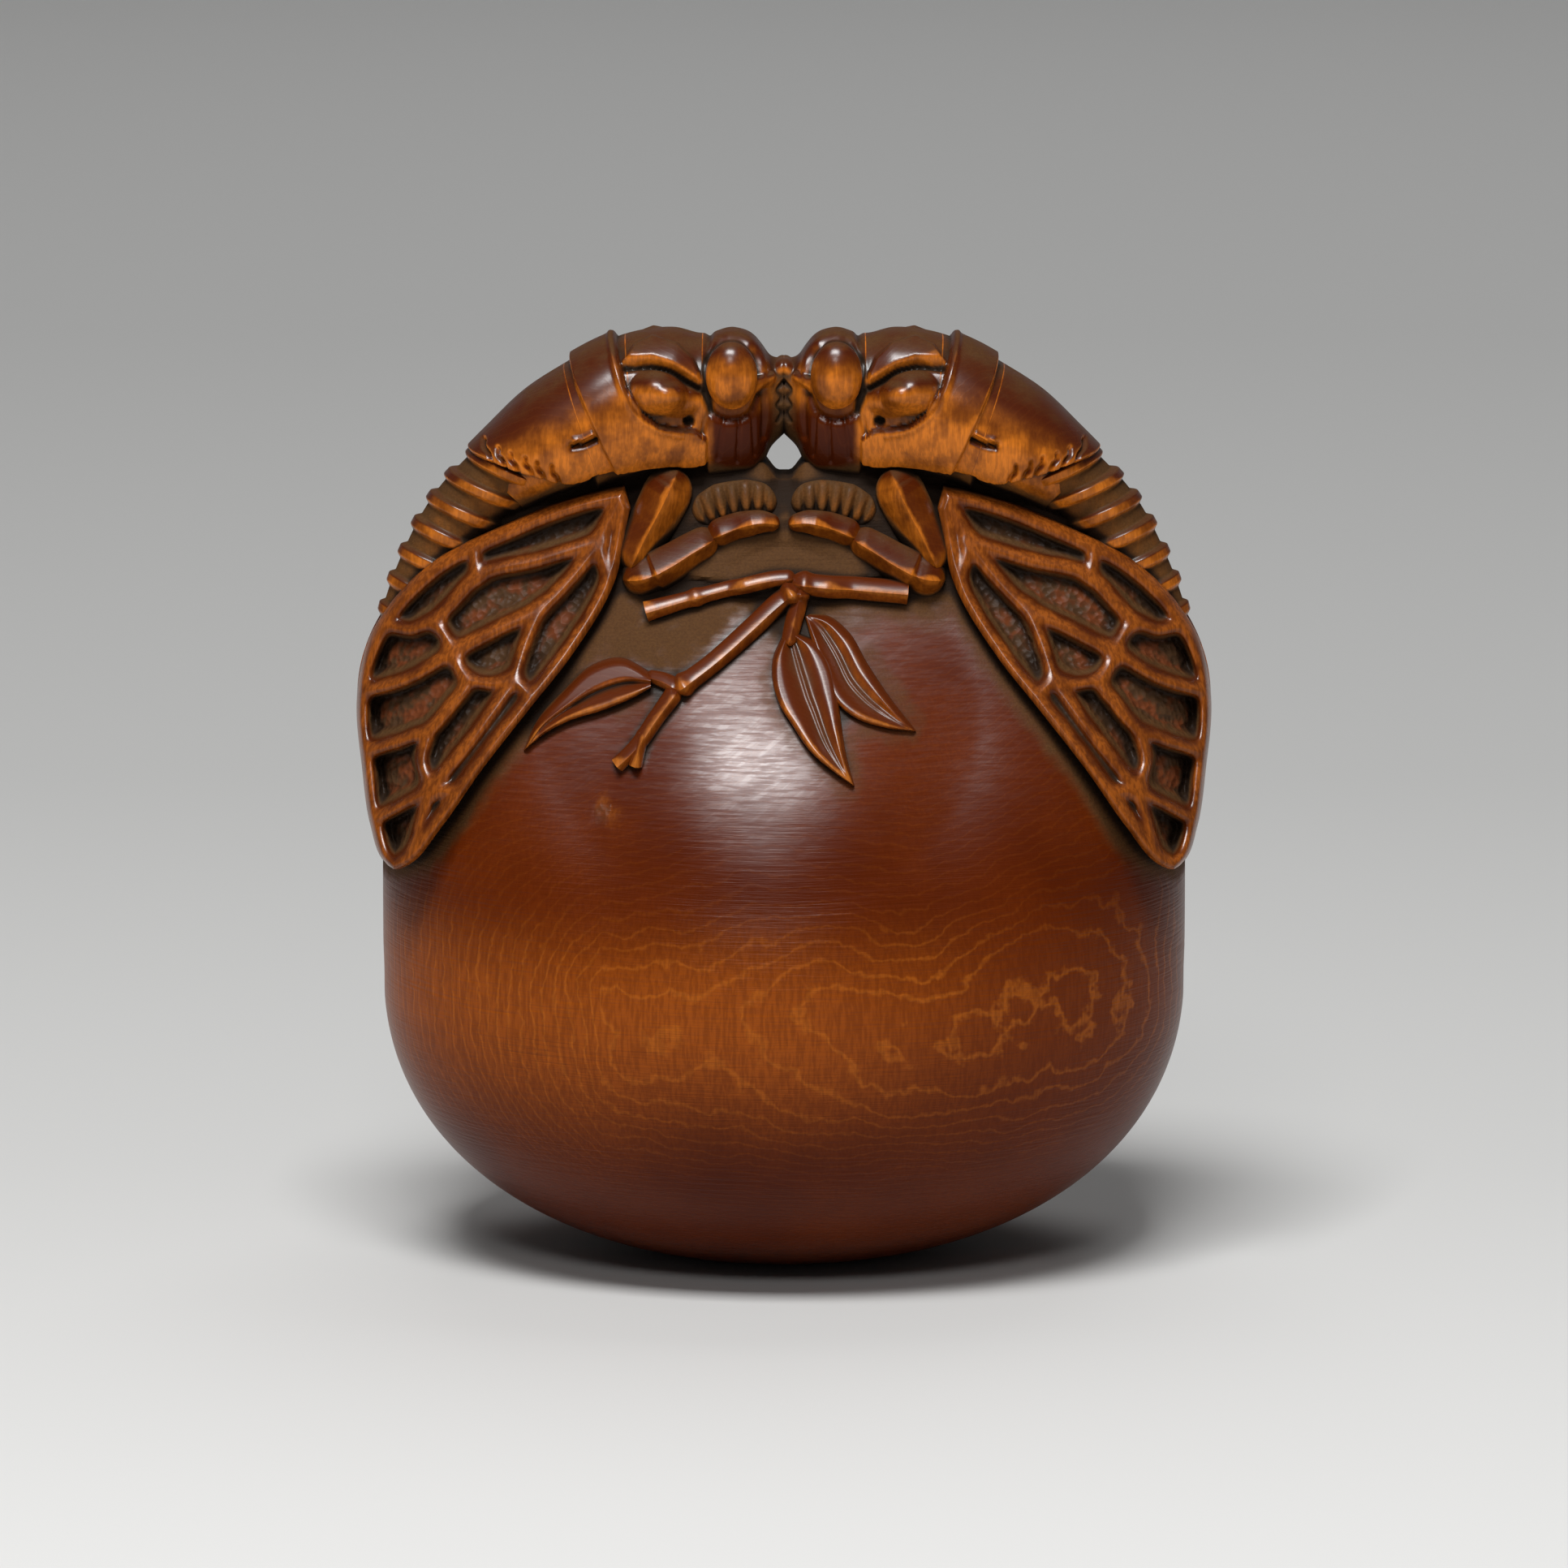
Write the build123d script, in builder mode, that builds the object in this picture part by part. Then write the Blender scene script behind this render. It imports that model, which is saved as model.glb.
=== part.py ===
from build123d import *
from math import cos, pi, radians, sin, sqrt
import os

os.makedirs("parts", exist_ok=True)

# A hand-sized wooden fish drum: a hollow slit belly, two cicadas head to head over its crest,
# and a leafy twig across its front. +Z is up, the front faces -Y. All lengths in millimetres.

# Hollow body
BODY_WIDTH = 40.9
BODY_DEPTH = 32.4
BELLY_HEIGHT = 14.6  # level of the widest section
CREST_HEIGHT = 40.0  # flat top of the crest, under the two chins
CREST_THICKNESS = 6.4
CREST_ROUND_OVER = 0.4  # how far above the flat top the shoulder curve would close
FOOT_CUT = 0.35  # how much of the round belly the flat foot takes away
BELLY_EXPONENT = 2.2  # superellipse of the belly below its widest section
SHOULDER_EXPONENT = 4.0  # superellipse of the shoulders, seen from the front
WAIST_EXPONENT = 1.15  # how far up the belly stays full, seen from the side
WALL = 4.2
CAVITY_ROOF = 28.0
CAVITY_SECTIONS = 7
SLIT_WIDTH = 2.4
SLIT_END_DIAMETER = 3.4
BODY_STEP_ANGLE = 10  # spacing of the body's sections along its quarter turns

# The ornament is drawn on a pattern sheet for a body of this size, then stretched to the real one.
SHEET_WIDTH = 40.9
SHEET_HEIGHT = 40.0

# Eyes
EYE_RADII = (1.28, 1.1, 1.78)
EYE_CENTRE = (2.63, 45.4)
EYE_SPREAD = 3.2  # from the middle plane to the centre of an eye

# Oval sections of the head and trunk: back point, belly point and half thickness
HEAD_SECTIONS = (
    ((0.0, 46.0), (0.0, 42.0), 1.7),
    ((0.9, 46.4), (0.9, 41.3), 2.3),
    ((1.7, 47.2), (1.7, 40.1), 3.3),
    ((2.6, 47.6), (2.6, 39.6), 3.65),
    ((3.5, 47.4), (3.5, 39.5), 3.5),
    ((4.3, 46.9), (4.3, 39.5), 3.3),
)
PRONOTUM_SECTIONS = (
    ((4.1, 47.0), (4.1, 39.5), 3.4),
    ((5.6, 47.7), (5.8, 39.5), 3.9),
    ((8.0, 47.3), (7.2, 39.4), 4.3),
)
COLLAR_SECTIONS = (
    ((8.0, 47.6), (7.0, 39.3), 4.5),
    ((11.0, 45.9), (8.6, 39.0), 4.7),
)
MESONOTUM_SECTIONS = (
    ((11.0, 45.6), (8.8, 38.9), 4.4),
    ((14.0, 43.6), (10.7, 38.2), 4.3),
    ((16.3, 41.4), (12.5, 37.4), 3.5),
)
ABDOMEN_SECTIONS = (
    ((15.6, 41.7), (12.2, 38.1), 3.2),
    ((17.5, 39.5), (14.0, 36.3), 2.4),
    ((18.7, 37.6), (15.0, 34.9), 2.0),
    ((19.5, 35.6), (15.9, 33.3), 1.7),
    ((20.2, 33.7), (16.6, 31.7), 1.6),
    ((20.8, 31.6), (17.4, 30.0), 1.5),
    ((21.1, 29.6), (18.3, 28.4), 1.4),
    ((20.9, 27.4), (19.0, 27.0), 1.2),
)
RING_STEP = 0.9  # how much smaller each ring starts than the one before it ends

# Wings
WING_RISE_FRONT = 1.3  # height of a wing over the body, seen from the side
WING_RISE_SIDE = 2.2  # height of a wing over the body, seen from the front
WING_GAP = 1.8  # groove between the front and the back wing of one cicada
WING_SKIN_LOW = 18.0
WING_SKIN_SECTIONS = 9
VEIN_WIDTH = 0.9
CELL_DEPTH = 0.7
WING_OUTER_EDGE = (
    (7.6, 40.0),
    (10.7, 39.1),
    (14.1, 37.7),
    (17.7, 35.8),
    (19.9, 33.6),
    (21.3, 31.0),
    (21.7, 28.6),
    (21.3, 25.6),
    (20.8, 22.9),
    (20.2, 21.5),
    (19.5, 21.0),
)
WING_INNER_EDGE = (
    (19.5, 21.0),
    (18.7, 21.5),
    (17.0, 23.6),
    (15.1, 26.3),
    (12.6, 29.4),
    (10.6, 31.8),
    (8.6, 35.0),
    (7.9, 38.0),
)

# Where the veins of a wing cross
VEIN_POINTS = {
    "root": (8.4, 39.6),
    "fore_root": (10.8, 38.7),
    "fore_middle": (13.2, 37.6),
    "fore_fork": (15.6, 36.4),
    "fore_bend": (18.1, 35.0),
    "fore_end": (20.0, 32.7),
    "rim_high": (21.0, 31.0),
    "rim_upper": (21.2, 29.3),
    "rim_middle": (20.9, 26.5),
    "rim_low": (20.5, 23.3),
    "rim_end": (20.2, 22.0),
    "tip": (19.5, 21.5),
    "tip_inner": (18.5, 22.3),
    "hind_low": (17.4, 23.7),
    "hind_fork": (16.2, 25.3),
    "hind_middle": (14.7, 27.3),
    "hind_upper": (12.8, 29.8),
    "hind_high": (11.1, 32.0),
    "hind_root": (8.9, 35.5),
    "arm": (9.2, 37.2),
    "arm_outer": (12.4, 36.2),
    "arm_fork": (15.4, 35.3),
    "first_cross": (17.6, 33.0),
    "second_cross": (16.6, 31.7),
    "palm": (12.2, 34.0),
    "palm_low": (13.5, 30.6),
    "middle_low": (15.9, 30.5),
    "third_cross": (18.0, 27.7),
    "low_cross": (17.6, 25.3),
}
WING_CELLS = (
    ("root", "arm", "arm_outer", "arm_fork", "fore_fork", "fore_middle", "fore_root"),
    ("fore_fork", "arm_fork", "first_cross", "fore_end", "fore_bend"),
    ("arm_fork", "arm_outer", "arm", "palm", "second_cross", "first_cross"),
    ("second_cross", "palm", "palm_low", "middle_low"),
    ("palm", "arm", "hind_root", "hind_high", "hind_upper", "palm_low"),
    ("fore_end", "first_cross", "second_cross", "rim_upper", "rim_high"),
    ("rim_upper", "second_cross", "middle_low", "third_cross", "rim_middle"),
    ("middle_low", "palm_low", "low_cross", "third_cross"),
    ("palm_low", "hind_upper", "hind_middle", "hind_fork", "low_cross"),
    ("rim_middle", "third_cross", "low_cross", "rim_low"),
    ("rim_low", "low_cross", "tip_inner", "tip", "rim_end"),
    ("low_cross", "hind_fork", "hind_low", "tip_inner"),
)

# Fore legs
HIP = (5.3, 40.2)
KNEE = (7.4, 35.9)
WRIST = (3.5, 37.5)
TOE = (1.3, 38.4)
FEMUR_RADII = (1.0, 0.9)
TIBIA_RADII = (0.95, 0.9)
FOOT_RADII = (0.85, 0.65)
LEG_RISE = 0.6  # from the crest's surface to a leg's middle line

# Twig and leaves, across the front only
KNOT = (0.8, 35.0)
LEFT_END = (-6.7, 33.9)
RIGHT_END = (5.7, 34.7)
FORK = (-5.4, 30.4)
CUT_END = (-7.6, 26.9)
STALK_END = (0.5, 32.6)
LEAF_STALK_END = (-6.8, 30.6)
RIGHT_TWIG_RADII = (0.65, 0.6)
MAIN_TWIG_RADII = (0.52, 0.48)
LEFT_TWIG_RADII = (0.42, 0.36)
LOWER_TWIG_RADII = (0.42, 0.4)
STALK_RADII = (0.36, 0.32)
TWIG_RISE = 0.15  # from the body's surface to a twig's middle line
LEAF_RISE = 0.7  # height of a leaf over the body
LEAF_SKIN_LOW = 24.0
LEAF_SKIN_SECTIONS = 9
LEFT_LEAF = ((-6.4, 30.5), (-9.4, 30.9), (-12.7, 27.6), (-9.2, 29.0))
FRONT_LEAF = ((0.5, 33.0), (2.7, 30.0), (3.4, 26.2), (-0.1, 29.8))
REAR_LEAF = ((1.3, 33.9), (4.3, 32.2), (6.5, 28.6), (3.2, 30.2))


def half_width(height):
    """Half the body's width at a level."""
    if height < BELLY_HEIGHT:
        drop = (BELLY_HEIGHT - height) / (BELLY_HEIGHT + FOOT_CUT)
        return BODY_WIDTH / 2 * (1 - drop**BELLY_EXPONENT) ** (1 / BELLY_EXPONENT)
    climb = (min(height, CREST_HEIGHT) - BELLY_HEIGHT) / (CREST_HEIGHT + CREST_ROUND_OVER - BELLY_HEIGHT)
    return BODY_WIDTH / 2 * (1 - climb**SHOULDER_EXPONENT) ** (1 / SHOULDER_EXPONENT)


def half_depth(height):
    """Half the body's depth at a level."""
    if height < BELLY_HEIGHT:
        drop = (BELLY_HEIGHT - height) / (BELLY_HEIGHT + FOOT_CUT)
        return BODY_DEPTH / 2 * (1 - drop**BELLY_EXPONENT) ** (1 / BELLY_EXPONENT)
    climb = (min(height, CREST_HEIGHT) - BELLY_HEIGHT) / (CREST_HEIGHT - BELLY_HEIGHT)
    fullness = (1 + cos(pi * climb**WAIST_EXPONENT)) / 2
    return CREST_THICKNESS / 2 + (BODY_DEPTH - CREST_THICKNESS) / 2 * fullness


def on_sheet(point):
    """A point of the pattern sheet, stretched to the body."""
    return (point[0] * BODY_WIDTH / SHEET_WIDTH, point[1] * CREST_HEIGHT / SHEET_HEIGHT)


def on_front(point, rise):
    """A point of the pattern sheet, laid on the front of the body and lifted off it."""
    across, height = on_sheet(point)
    hollow = max(0.0, 1 - (across / half_width(height)) ** 2)
    return (across, -half_depth(height) * sqrt(hollow) - rise, height)


def even_levels(low, high, count):
    """Evenly spaced levels from low to high."""
    return [low + (high - low) * index / (count - 1) for index in range(count)]


def body_shell(levels, rise_side, rise_front):
    """The body's outer form between levels, grown or shrunk by a rise."""
    with BuildPart() as made:
        for level in levels:
            with BuildSketch(Plane.XY.offset(level)):
                Ellipse(half_depth(level) + rise_front, half_width(level) + rise_side, rotation=90)
        loft()
    return made.part


def ellipsoid(centre, radii):
    """A ball stretched to three radii."""
    with BuildPart() as made:
        Sphere(1)
        scale(by=radii)
    return made.part.moved(Location(centre))


def section_plane(back, belly):
    """The plane of an oval section whose height runs from the belly point to the back point."""
    top = Vector(back[0], 0, back[1])
    bottom = Vector(belly[0], 0, belly[1])
    return Plane(origin=(top + bottom) / 2, x_dir=(0, 1, 0), z_dir=(top - bottom).cross(Vector(0, 1, 0)))


def trunk(sections, shares):
    """A stretch of an insect's trunk through oval sections, each drawn at a share of its size."""
    with BuildPart() as made:
        for (back, belly, half_thickness), share in zip(sections, shares):
            top = on_sheet(back)
            bottom = on_sheet(belly)
            half_height = (Vector(*top) - Vector(*bottom)).length / 2
            with BuildSketch(section_plane(top, bottom)):
                Ellipse(half_thickness * share, half_height * share)
        loft()
    return made.part


def limb(start, end, radii):
    """A round tapering limb with ball ends between two points."""
    start_radius, end_radius = radii
    along = Vector(*end) - Vector(*start)
    reach = along.length
    quarter = sin(radians(45))
    with BuildPart() as made:
        with BuildSketch(Plane(origin=start, x_dir=along, z_dir=along.cross(Vector(0, 0, 1)))):
            with BuildLine():
                ThreePointArc(
                    (-start_radius, 0),
                    (-start_radius * quarter, start_radius * quarter),
                    (0, start_radius),
                )
                Line((0, start_radius), (reach, end_radius))
                ThreePointArc(
                    (reach, end_radius),
                    (reach + end_radius * quarter, end_radius * quarter),
                    (reach + end_radius, 0),
                )
                Line((reach + end_radius, 0), (-start_radius, 0))
            make_face()
        revolve(axis=Axis(start, along))
    return made.part


def leaf_blade(outline):
    """A leaf standing straight out of the front, from its base, side, tip and other side."""
    base, side, tip, other_side = [on_sheet(point) for point in outline]
    with BuildPart() as made:
        with BuildSketch(Plane.XZ):
            with BuildLine():
                ThreePointArc(base, side, tip)
                ThreePointArc(tip, other_side, base)
            make_face()
        extrude(amount=BODY_DEPTH)
    return made.part


def save(piece, name):
    """Names a finished piece and writes it."""
    piece.label = name
    export_step(piece, f"parts/{name}.step")


# Uncut forms of the right front; each finished piece is its form less the forms before it
lower_levels = [BELLY_HEIGHT * (1 - cos(radians(angle))) for angle in range(0, 90, BODY_STEP_ANGLE)]
upper_levels = [
    BELLY_HEIGHT + (CREST_HEIGHT - BELLY_HEIGHT) * sin(radians(angle))
    for angle in range(0, 91, BODY_STEP_ANGLE)
]
body_form = body_shell(lower_levels + upper_levels, 0, 0)
pronotum_form = trunk(PRONOTUM_SECTIONS, [1] * len(PRONOTUM_SECTIONS))
collar_form = trunk(COLLAR_SECTIONS, [1] * len(COLLAR_SECTIONS))
mesonotum_form = trunk(MESONOTUM_SECTIONS, [1] * len(MESONOTUM_SECTIONS))
head_form = trunk(HEAD_SECTIONS, [1] * len(HEAD_SECTIONS))
femur_form = limb(on_front(HIP, LEG_RISE), on_front(KNEE, LEG_RISE), FEMUR_RADII)
tibia_form = limb(on_front(KNEE, LEG_RISE), on_front(WRIST, LEG_RISE), TIBIA_RADII)
foot_form = limb(on_front(WRIST, LEG_RISE), on_front(TOE, LEG_RISE), FOOT_RADII)

# Hollow body with its slit, which runs right out of both sides
slit_reach = BODY_WIDTH + 2 * WALL
cavity = body_shell(even_levels(WALL, CAVITY_ROOF, CAVITY_SECTIONS), -WALL, -WALL)
with BuildPart() as sound_body:
    add(body_form)
    add(cavity, mode=Mode.SUBTRACT)
    Box(slit_reach, SLIT_WIDTH, 2 * BELLY_HEIGHT, mode=Mode.SUBTRACT)
    with Locations((0, 0, BELLY_HEIGHT)):
        Cylinder(SLIT_END_DIAMETER / 2, slit_reach, rotation=(0, 90, 0), mode=Mode.SUBTRACT)
save(sound_body.part, "sound_body")

# Trunk of the right cicada, from the neck to the tail
with BuildPart() as pronotum:
    add(pronotum_form)
    add(body_form, mode=Mode.SUBTRACT)

with BuildPart() as collar:
    add(collar_form)
    for earlier in (body_form, pronotum_form):
        add(earlier, mode=Mode.SUBTRACT)

with BuildPart() as mesonotum:
    add(mesonotum_form)
    for earlier in (body_form, collar_form):
        add(earlier, mode=Mode.SUBTRACT)

with BuildPart() as abdomen_rings:
    for ring in zip(ABDOMEN_SECTIONS, ABDOMEN_SECTIONS[1:]):
        add(trunk(ring, (RING_STEP, 1)))

with BuildPart() as abdomen:
    add(abdomen_rings.part)
    for earlier in (body_form, mesonotum_form):
        add(earlier, mode=Mode.SUBTRACT)

with BuildPart() as head:
    add(head_form)
    for earlier in (body_form, pronotum_form):
        add(earlier, mode=Mode.SUBTRACT)

eye_across, eye_height = on_sheet(EYE_CENTRE)
with BuildPart() as eye:
    add(ellipsoid((eye_across, -EYE_SPREAD, eye_height), EYE_RADII))
    for earlier in (pronotum_form, head_form):
        add(earlier, mode=Mode.SUBTRACT)

# Right front wing with its sunken cells
wing_levels = even_levels(WING_SKIN_LOW, CREST_HEIGHT, WING_SKIN_SECTIONS)
wing_skin = body_shell(wing_levels, WING_RISE_SIDE, WING_RISE_FRONT)
cell_floor = body_shell(wing_levels, WING_RISE_SIDE - CELL_DEPTH, WING_RISE_FRONT - CELL_DEPTH)
wing_plane = Plane.XZ.offset(WING_GAP / 2)

with BuildPart() as wing_cells:
    for corners in WING_CELLS:
        with BuildSketch(wing_plane):
            Polygon(*[on_sheet(VEIN_POINTS[corner]) for corner in corners], align=None)
            offset(amount=-VEIN_WIDTH / 2, mode=Mode.REPLACE)
        extrude(amount=BODY_DEPTH)
    add(cell_floor, mode=Mode.SUBTRACT)

with BuildPart() as wing_blank:
    with BuildSketch(wing_plane):
        with BuildLine():
            Spline(*[on_sheet(point) for point in WING_OUTER_EDGE])
            Spline(*[on_sheet(point) for point in WING_INNER_EDGE])
            Line(on_sheet(WING_INNER_EDGE[-1]), on_sheet(WING_OUTER_EDGE[0]))
        make_face()
    extrude(amount=BODY_DEPTH)
    add(wing_skin, mode=Mode.INTERSECT)

with BuildPart() as wing:
    add(wing_blank.part)
    for earlier in (body_form, collar_form, mesonotum_form, abdomen_rings.part, wing_cells.part):
        add(earlier, mode=Mode.SUBTRACT)

# Right front leg
with BuildPart() as femur:
    add(femur_form)
    for earlier in (body_form, head_form, pronotum_form, collar_form, wing_blank.part):
        add(earlier, mode=Mode.SUBTRACT)

with BuildPart() as tibia:
    add(tibia_form)
    for earlier in (body_form, wing_blank.part, femur_form):
        add(earlier, mode=Mode.SUBTRACT)

with BuildPart() as foot:
    add(foot_form)
    for earlier in (body_form, head_form, tibia_form):
        add(earlier, mode=Mode.SUBTRACT)

# Every piece of the right front, copied to the back and to the left
middle_pieces = {
    "head": head.part,
    "pronotum": pronotum.part,
    "collar": collar.part,
    "mesonotum": mesonotum.part,
    "abdomen": abdomen.part,
}
front_pieces = {
    "eye": eye.part,
    "wing": wing.part,
    "femur": femur.part,
    "tibia": tibia.part,
    "foot": foot.part,
}
right_pieces = {f"right_{name}": piece for name, piece in middle_pieces.items()}
for name, piece in front_pieces.items():
    with BuildPart() as back_copy:
        mirror(piece, about=Plane.XZ)
    right_pieces[f"right_front_{name}"] = piece
    right_pieces[f"right_back_{name}"] = back_copy.part

for name, piece in right_pieces.items():
    with BuildPart() as left_copy:
        mirror(piece, about=Plane.YZ)
    save(piece, name)
    save(left_copy.part, name.replace("right", "left", 1))

# Twig and leaves on the front, in the order in which one lies over the next
overlying_forms = [wing_blank.part, femur_form, tibia_form]
for form in list(overlying_forms):
    with BuildPart() as left_form:
        mirror(form, about=Plane.YZ)
    overlying_forms.append(left_form.part)

twig_routes = {
    "right_twig": (KNOT, RIGHT_END, RIGHT_TWIG_RADII),
    "main_twig": (KNOT, FORK, MAIN_TWIG_RADII),
    "left_twig": (KNOT, LEFT_END, LEFT_TWIG_RADII),
    "lower_twig": (FORK, CUT_END, LOWER_TWIG_RADII),
    "front_leaf_stalk": (KNOT, STALK_END, STALK_RADII),
    "left_leaf_stalk": (FORK, LEAF_STALK_END, STALK_RADII),
}
sprig_forms = {
    name: limb(on_front(start, TWIG_RISE), on_front(end, TWIG_RISE), radii)
    for name, (start, end, radii) in twig_routes.items()
}
leaf_skin = body_shell(even_levels(LEAF_SKIN_LOW, CREST_HEIGHT, LEAF_SKIN_SECTIONS), LEAF_RISE, LEAF_RISE)
leaf_outlines = {"front_leaf": FRONT_LEAF, "rear_leaf": REAR_LEAF, "left_leaf": LEFT_LEAF}
for name, outline in leaf_outlines.items():
    with BuildPart() as leaf_form:
        add(leaf_blade(outline))
        add(leaf_skin, mode=Mode.INTERSECT)
    sprig_forms[name] = leaf_form.part

for name, form in sprig_forms.items():
    with BuildPart() as sprig_piece:
        add(form)
        for earlier in [body_form] + overlying_forms:
            add(earlier, mode=Mode.SUBTRACT)
    save(sprig_piece.part, name)
    overlying_forms.append(form)
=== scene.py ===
import logging
import math
from dataclasses import dataclass, field
from enum import Enum

import bmesh
import bpy
import numpy as np
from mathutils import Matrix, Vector


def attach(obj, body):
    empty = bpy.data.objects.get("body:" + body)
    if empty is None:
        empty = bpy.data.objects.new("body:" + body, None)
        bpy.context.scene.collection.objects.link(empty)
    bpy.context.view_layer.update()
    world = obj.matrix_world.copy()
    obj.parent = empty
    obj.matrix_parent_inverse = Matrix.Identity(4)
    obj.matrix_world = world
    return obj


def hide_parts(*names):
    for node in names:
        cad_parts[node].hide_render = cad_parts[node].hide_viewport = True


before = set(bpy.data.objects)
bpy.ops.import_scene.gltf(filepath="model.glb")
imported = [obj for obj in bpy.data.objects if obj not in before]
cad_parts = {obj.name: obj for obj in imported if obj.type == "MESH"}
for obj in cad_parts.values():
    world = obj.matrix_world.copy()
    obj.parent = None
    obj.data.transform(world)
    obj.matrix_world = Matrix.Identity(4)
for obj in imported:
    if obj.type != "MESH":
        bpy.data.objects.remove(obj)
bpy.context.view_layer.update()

# A pocket-sized wooden fish drum of old boxwood: a hollow slit belly, two cicadas face to face over
# its crest, and a leafy twig across its front. Lengths are in millimetres until a mesh is made.

MM = 0.001
WELD = 0.002  # corners this close are one
Array = np.ndarray
Point = tuple[float, float]
Colour = tuple[float, float, float]
Socket = bpy.types.NodeSocket
Source = Socket | float | Colour
log = logging.getLogger("wooden_fish")


class Slot(Enum):
    """The material slots."""

    BODY = "body_wood"
    WING = "wing_wood"
    SPRIG = "sprig_wood"
    INSECT = "insect_wood"


class Mark(Enum):
    """Kinds of chisel mark."""

    STROKE = "stroke"  # a groove or ridge along a line
    DOME = "dome"  # a round swelling or pit
    PLATE = "plate"  # a raised or sunken patch inside an outline


class End(Enum):
    """How a limb or twig ends."""

    ROUND = "round"
    CUT = "cut"


def smooth_step(low: float, high: float, value: Array) -> Array:
    """Soft ramp from 0 at low to 1 at high.

    Args:
        low: value where the ramp starts.
        high: value where the ramp ends.
        value: values to read.

    Returns:
        Shares from 0 to 1.
    """
    share = np.clip((value - low) / (high - low), 0.0, 1.0)
    return share * share * (3 - 2 * share)


def knots_of(points: Array) -> Array:
    """Shares of chord length, 0 to 1, at which a curve passes its points."""
    steps = np.linalg.norm(np.diff(points, axis=0), axis=1)
    return np.concatenate(([0.0], np.cumsum(steps))) / steps.sum()


def through(points: Array, shares: Array) -> Array:
    """Smooth curve through points: cubic pieces whose slopes follow the neighbouring points.

    Args:
        points: rows of coordinates.
        shares: shares of chord length to read, 0 to 1.

    Returns:
        One row of coordinates for each share.
    """
    points = np.asarray(points, float)
    knots = knots_of(points)
    slopes = np.gradient(points, knots, axis=0)
    piece = np.clip(np.searchsorted(knots, shares, side="right") - 1, 0, len(knots) - 2)
    span = (knots[piece + 1] - knots[piece])[:, None]
    t = (shares - knots[piece])[:, None] / span
    return (
        points[piece] * (2 * t**3 - 3 * t**2 + 1)
        + slopes[piece] * span * (t**3 - 2 * t**2 + t)
        + points[piece + 1] * (3 * t**2 - 2 * t**3)
        + slopes[piece + 1] * span * (t**3 - t**2)
    )


def stroke_gap(at: Array, stroke: Array) -> Array:
    """Distance from each point to the nearest place on a polyline.

    Args:
        at: points in the plane, one a row.
        stroke: corners of the polyline, one a row.

    Returns:
        Distances in millimetres.
    """
    nearest = np.full(len(at), np.inf)
    for start, end in zip(stroke[:-1], stroke[1:]):
        along = end - start
        share = np.clip(((at - start) @ along) / max(along @ along, 1e-9), 0, 1)
        nearest = np.minimum(nearest, np.hypot(*(at - start - share[:, None] * along).T))
    return nearest


def within(at: Array, outline: Array) -> Array:
    """Which points lie inside a closed outline.

    Args:
        at: points in the plane, one a row.
        outline: corners of the outline, one a row.

    Returns:
        True for each point inside.
    """
    inside = np.zeros(len(at), bool)
    for (x0, z0), (x1, z1) in zip(outline, np.roll(outline, -1, axis=0)):
        spans = (z0 > at[:, 1]) != (z1 > at[:, 1])
        rise = z1 - z0 if abs(z1 - z0) > 1e-9 else 1e-9
        inside ^= spans & (at[:, 0] < (x1 - x0) * (at[:, 1] - z0) / rise + x0)
    return inside


@dataclass(frozen=True)
class Carving:
    """One mark of the chisel, drawn in the plane of the front."""

    kind: Mark
    points: tuple[Point, ...]
    width: float
    lift: float

    def height(self, at: Array) -> Array:
        """Rise of the surface under this mark.

        A stroke is a bell-shaped ridge or groove along its line, a dome is a soft round hill given
        by its centre and radii, and a plate is level inside its outline with a soft edge.

        Args:
            at: points in the plane of the front, one a row.

        Returns:
            Heights in millimetres.
        """
        points = np.array(self.points)
        if self.kind is Mark.DOME:
            reach = np.hypot(*((at - points[0]) / points[1]).T)
            return self.lift * np.clip(1 - reach**2, 0, 1) ** 1.4
        if self.kind is Mark.PLATE:
            gap = stroke_gap(at, np.vstack((points, points[:1])))
            signed = np.where(within(at, points), gap, -gap)
            return self.lift * smooth_step(-self.width / 2, self.width / 2, signed)
        line = through(points, np.linspace(0, 1, 6 * len(points)))
        return self.lift * np.exp(-((stroke_gap(at, line) / self.width) ** 2))


def carved(marks: tuple[Carving, ...], at: Array) -> Array:
    """Sum of the heights of several chisel marks at points in the plane of the front."""
    return sum((mark.height(at) for mark in marks), np.zeros(len(at)))


def stroke(points: tuple[Point, ...], width: float, lift: float) -> Carving:
    """A groove or ridge along a line."""
    return Carving(Mark.STROKE, points, width, lift)


def dome(centre: Point, radii: Point, lift: float) -> Carving:
    """A round swelling or pit."""
    return Carving(Mark.DOME, (centre, radii), 0.0, lift)


def plate(points: tuple[Point, ...], width: float, lift: float) -> Carving:
    """A raised or sunken patch with a soft edge."""
    return Carving(Mark.PLATE, points, width, lift)


def arch(across: Array, wide: Array, deep: Array) -> Array:
    """Height of half an ellipse at a distance from its middle."""
    return deep * np.sqrt(np.clip(1 - (across / wide) ** 2, 0, 1))


def rounded(share: Array, least: float = 0.0) -> Array:
    """Quarter circle that climbs from 0 to 1 while the share does, and stays at 1."""
    return np.sqrt(np.clip(1 - (1 - np.clip(share, 0, 1)) ** 2, least, 1))


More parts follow.
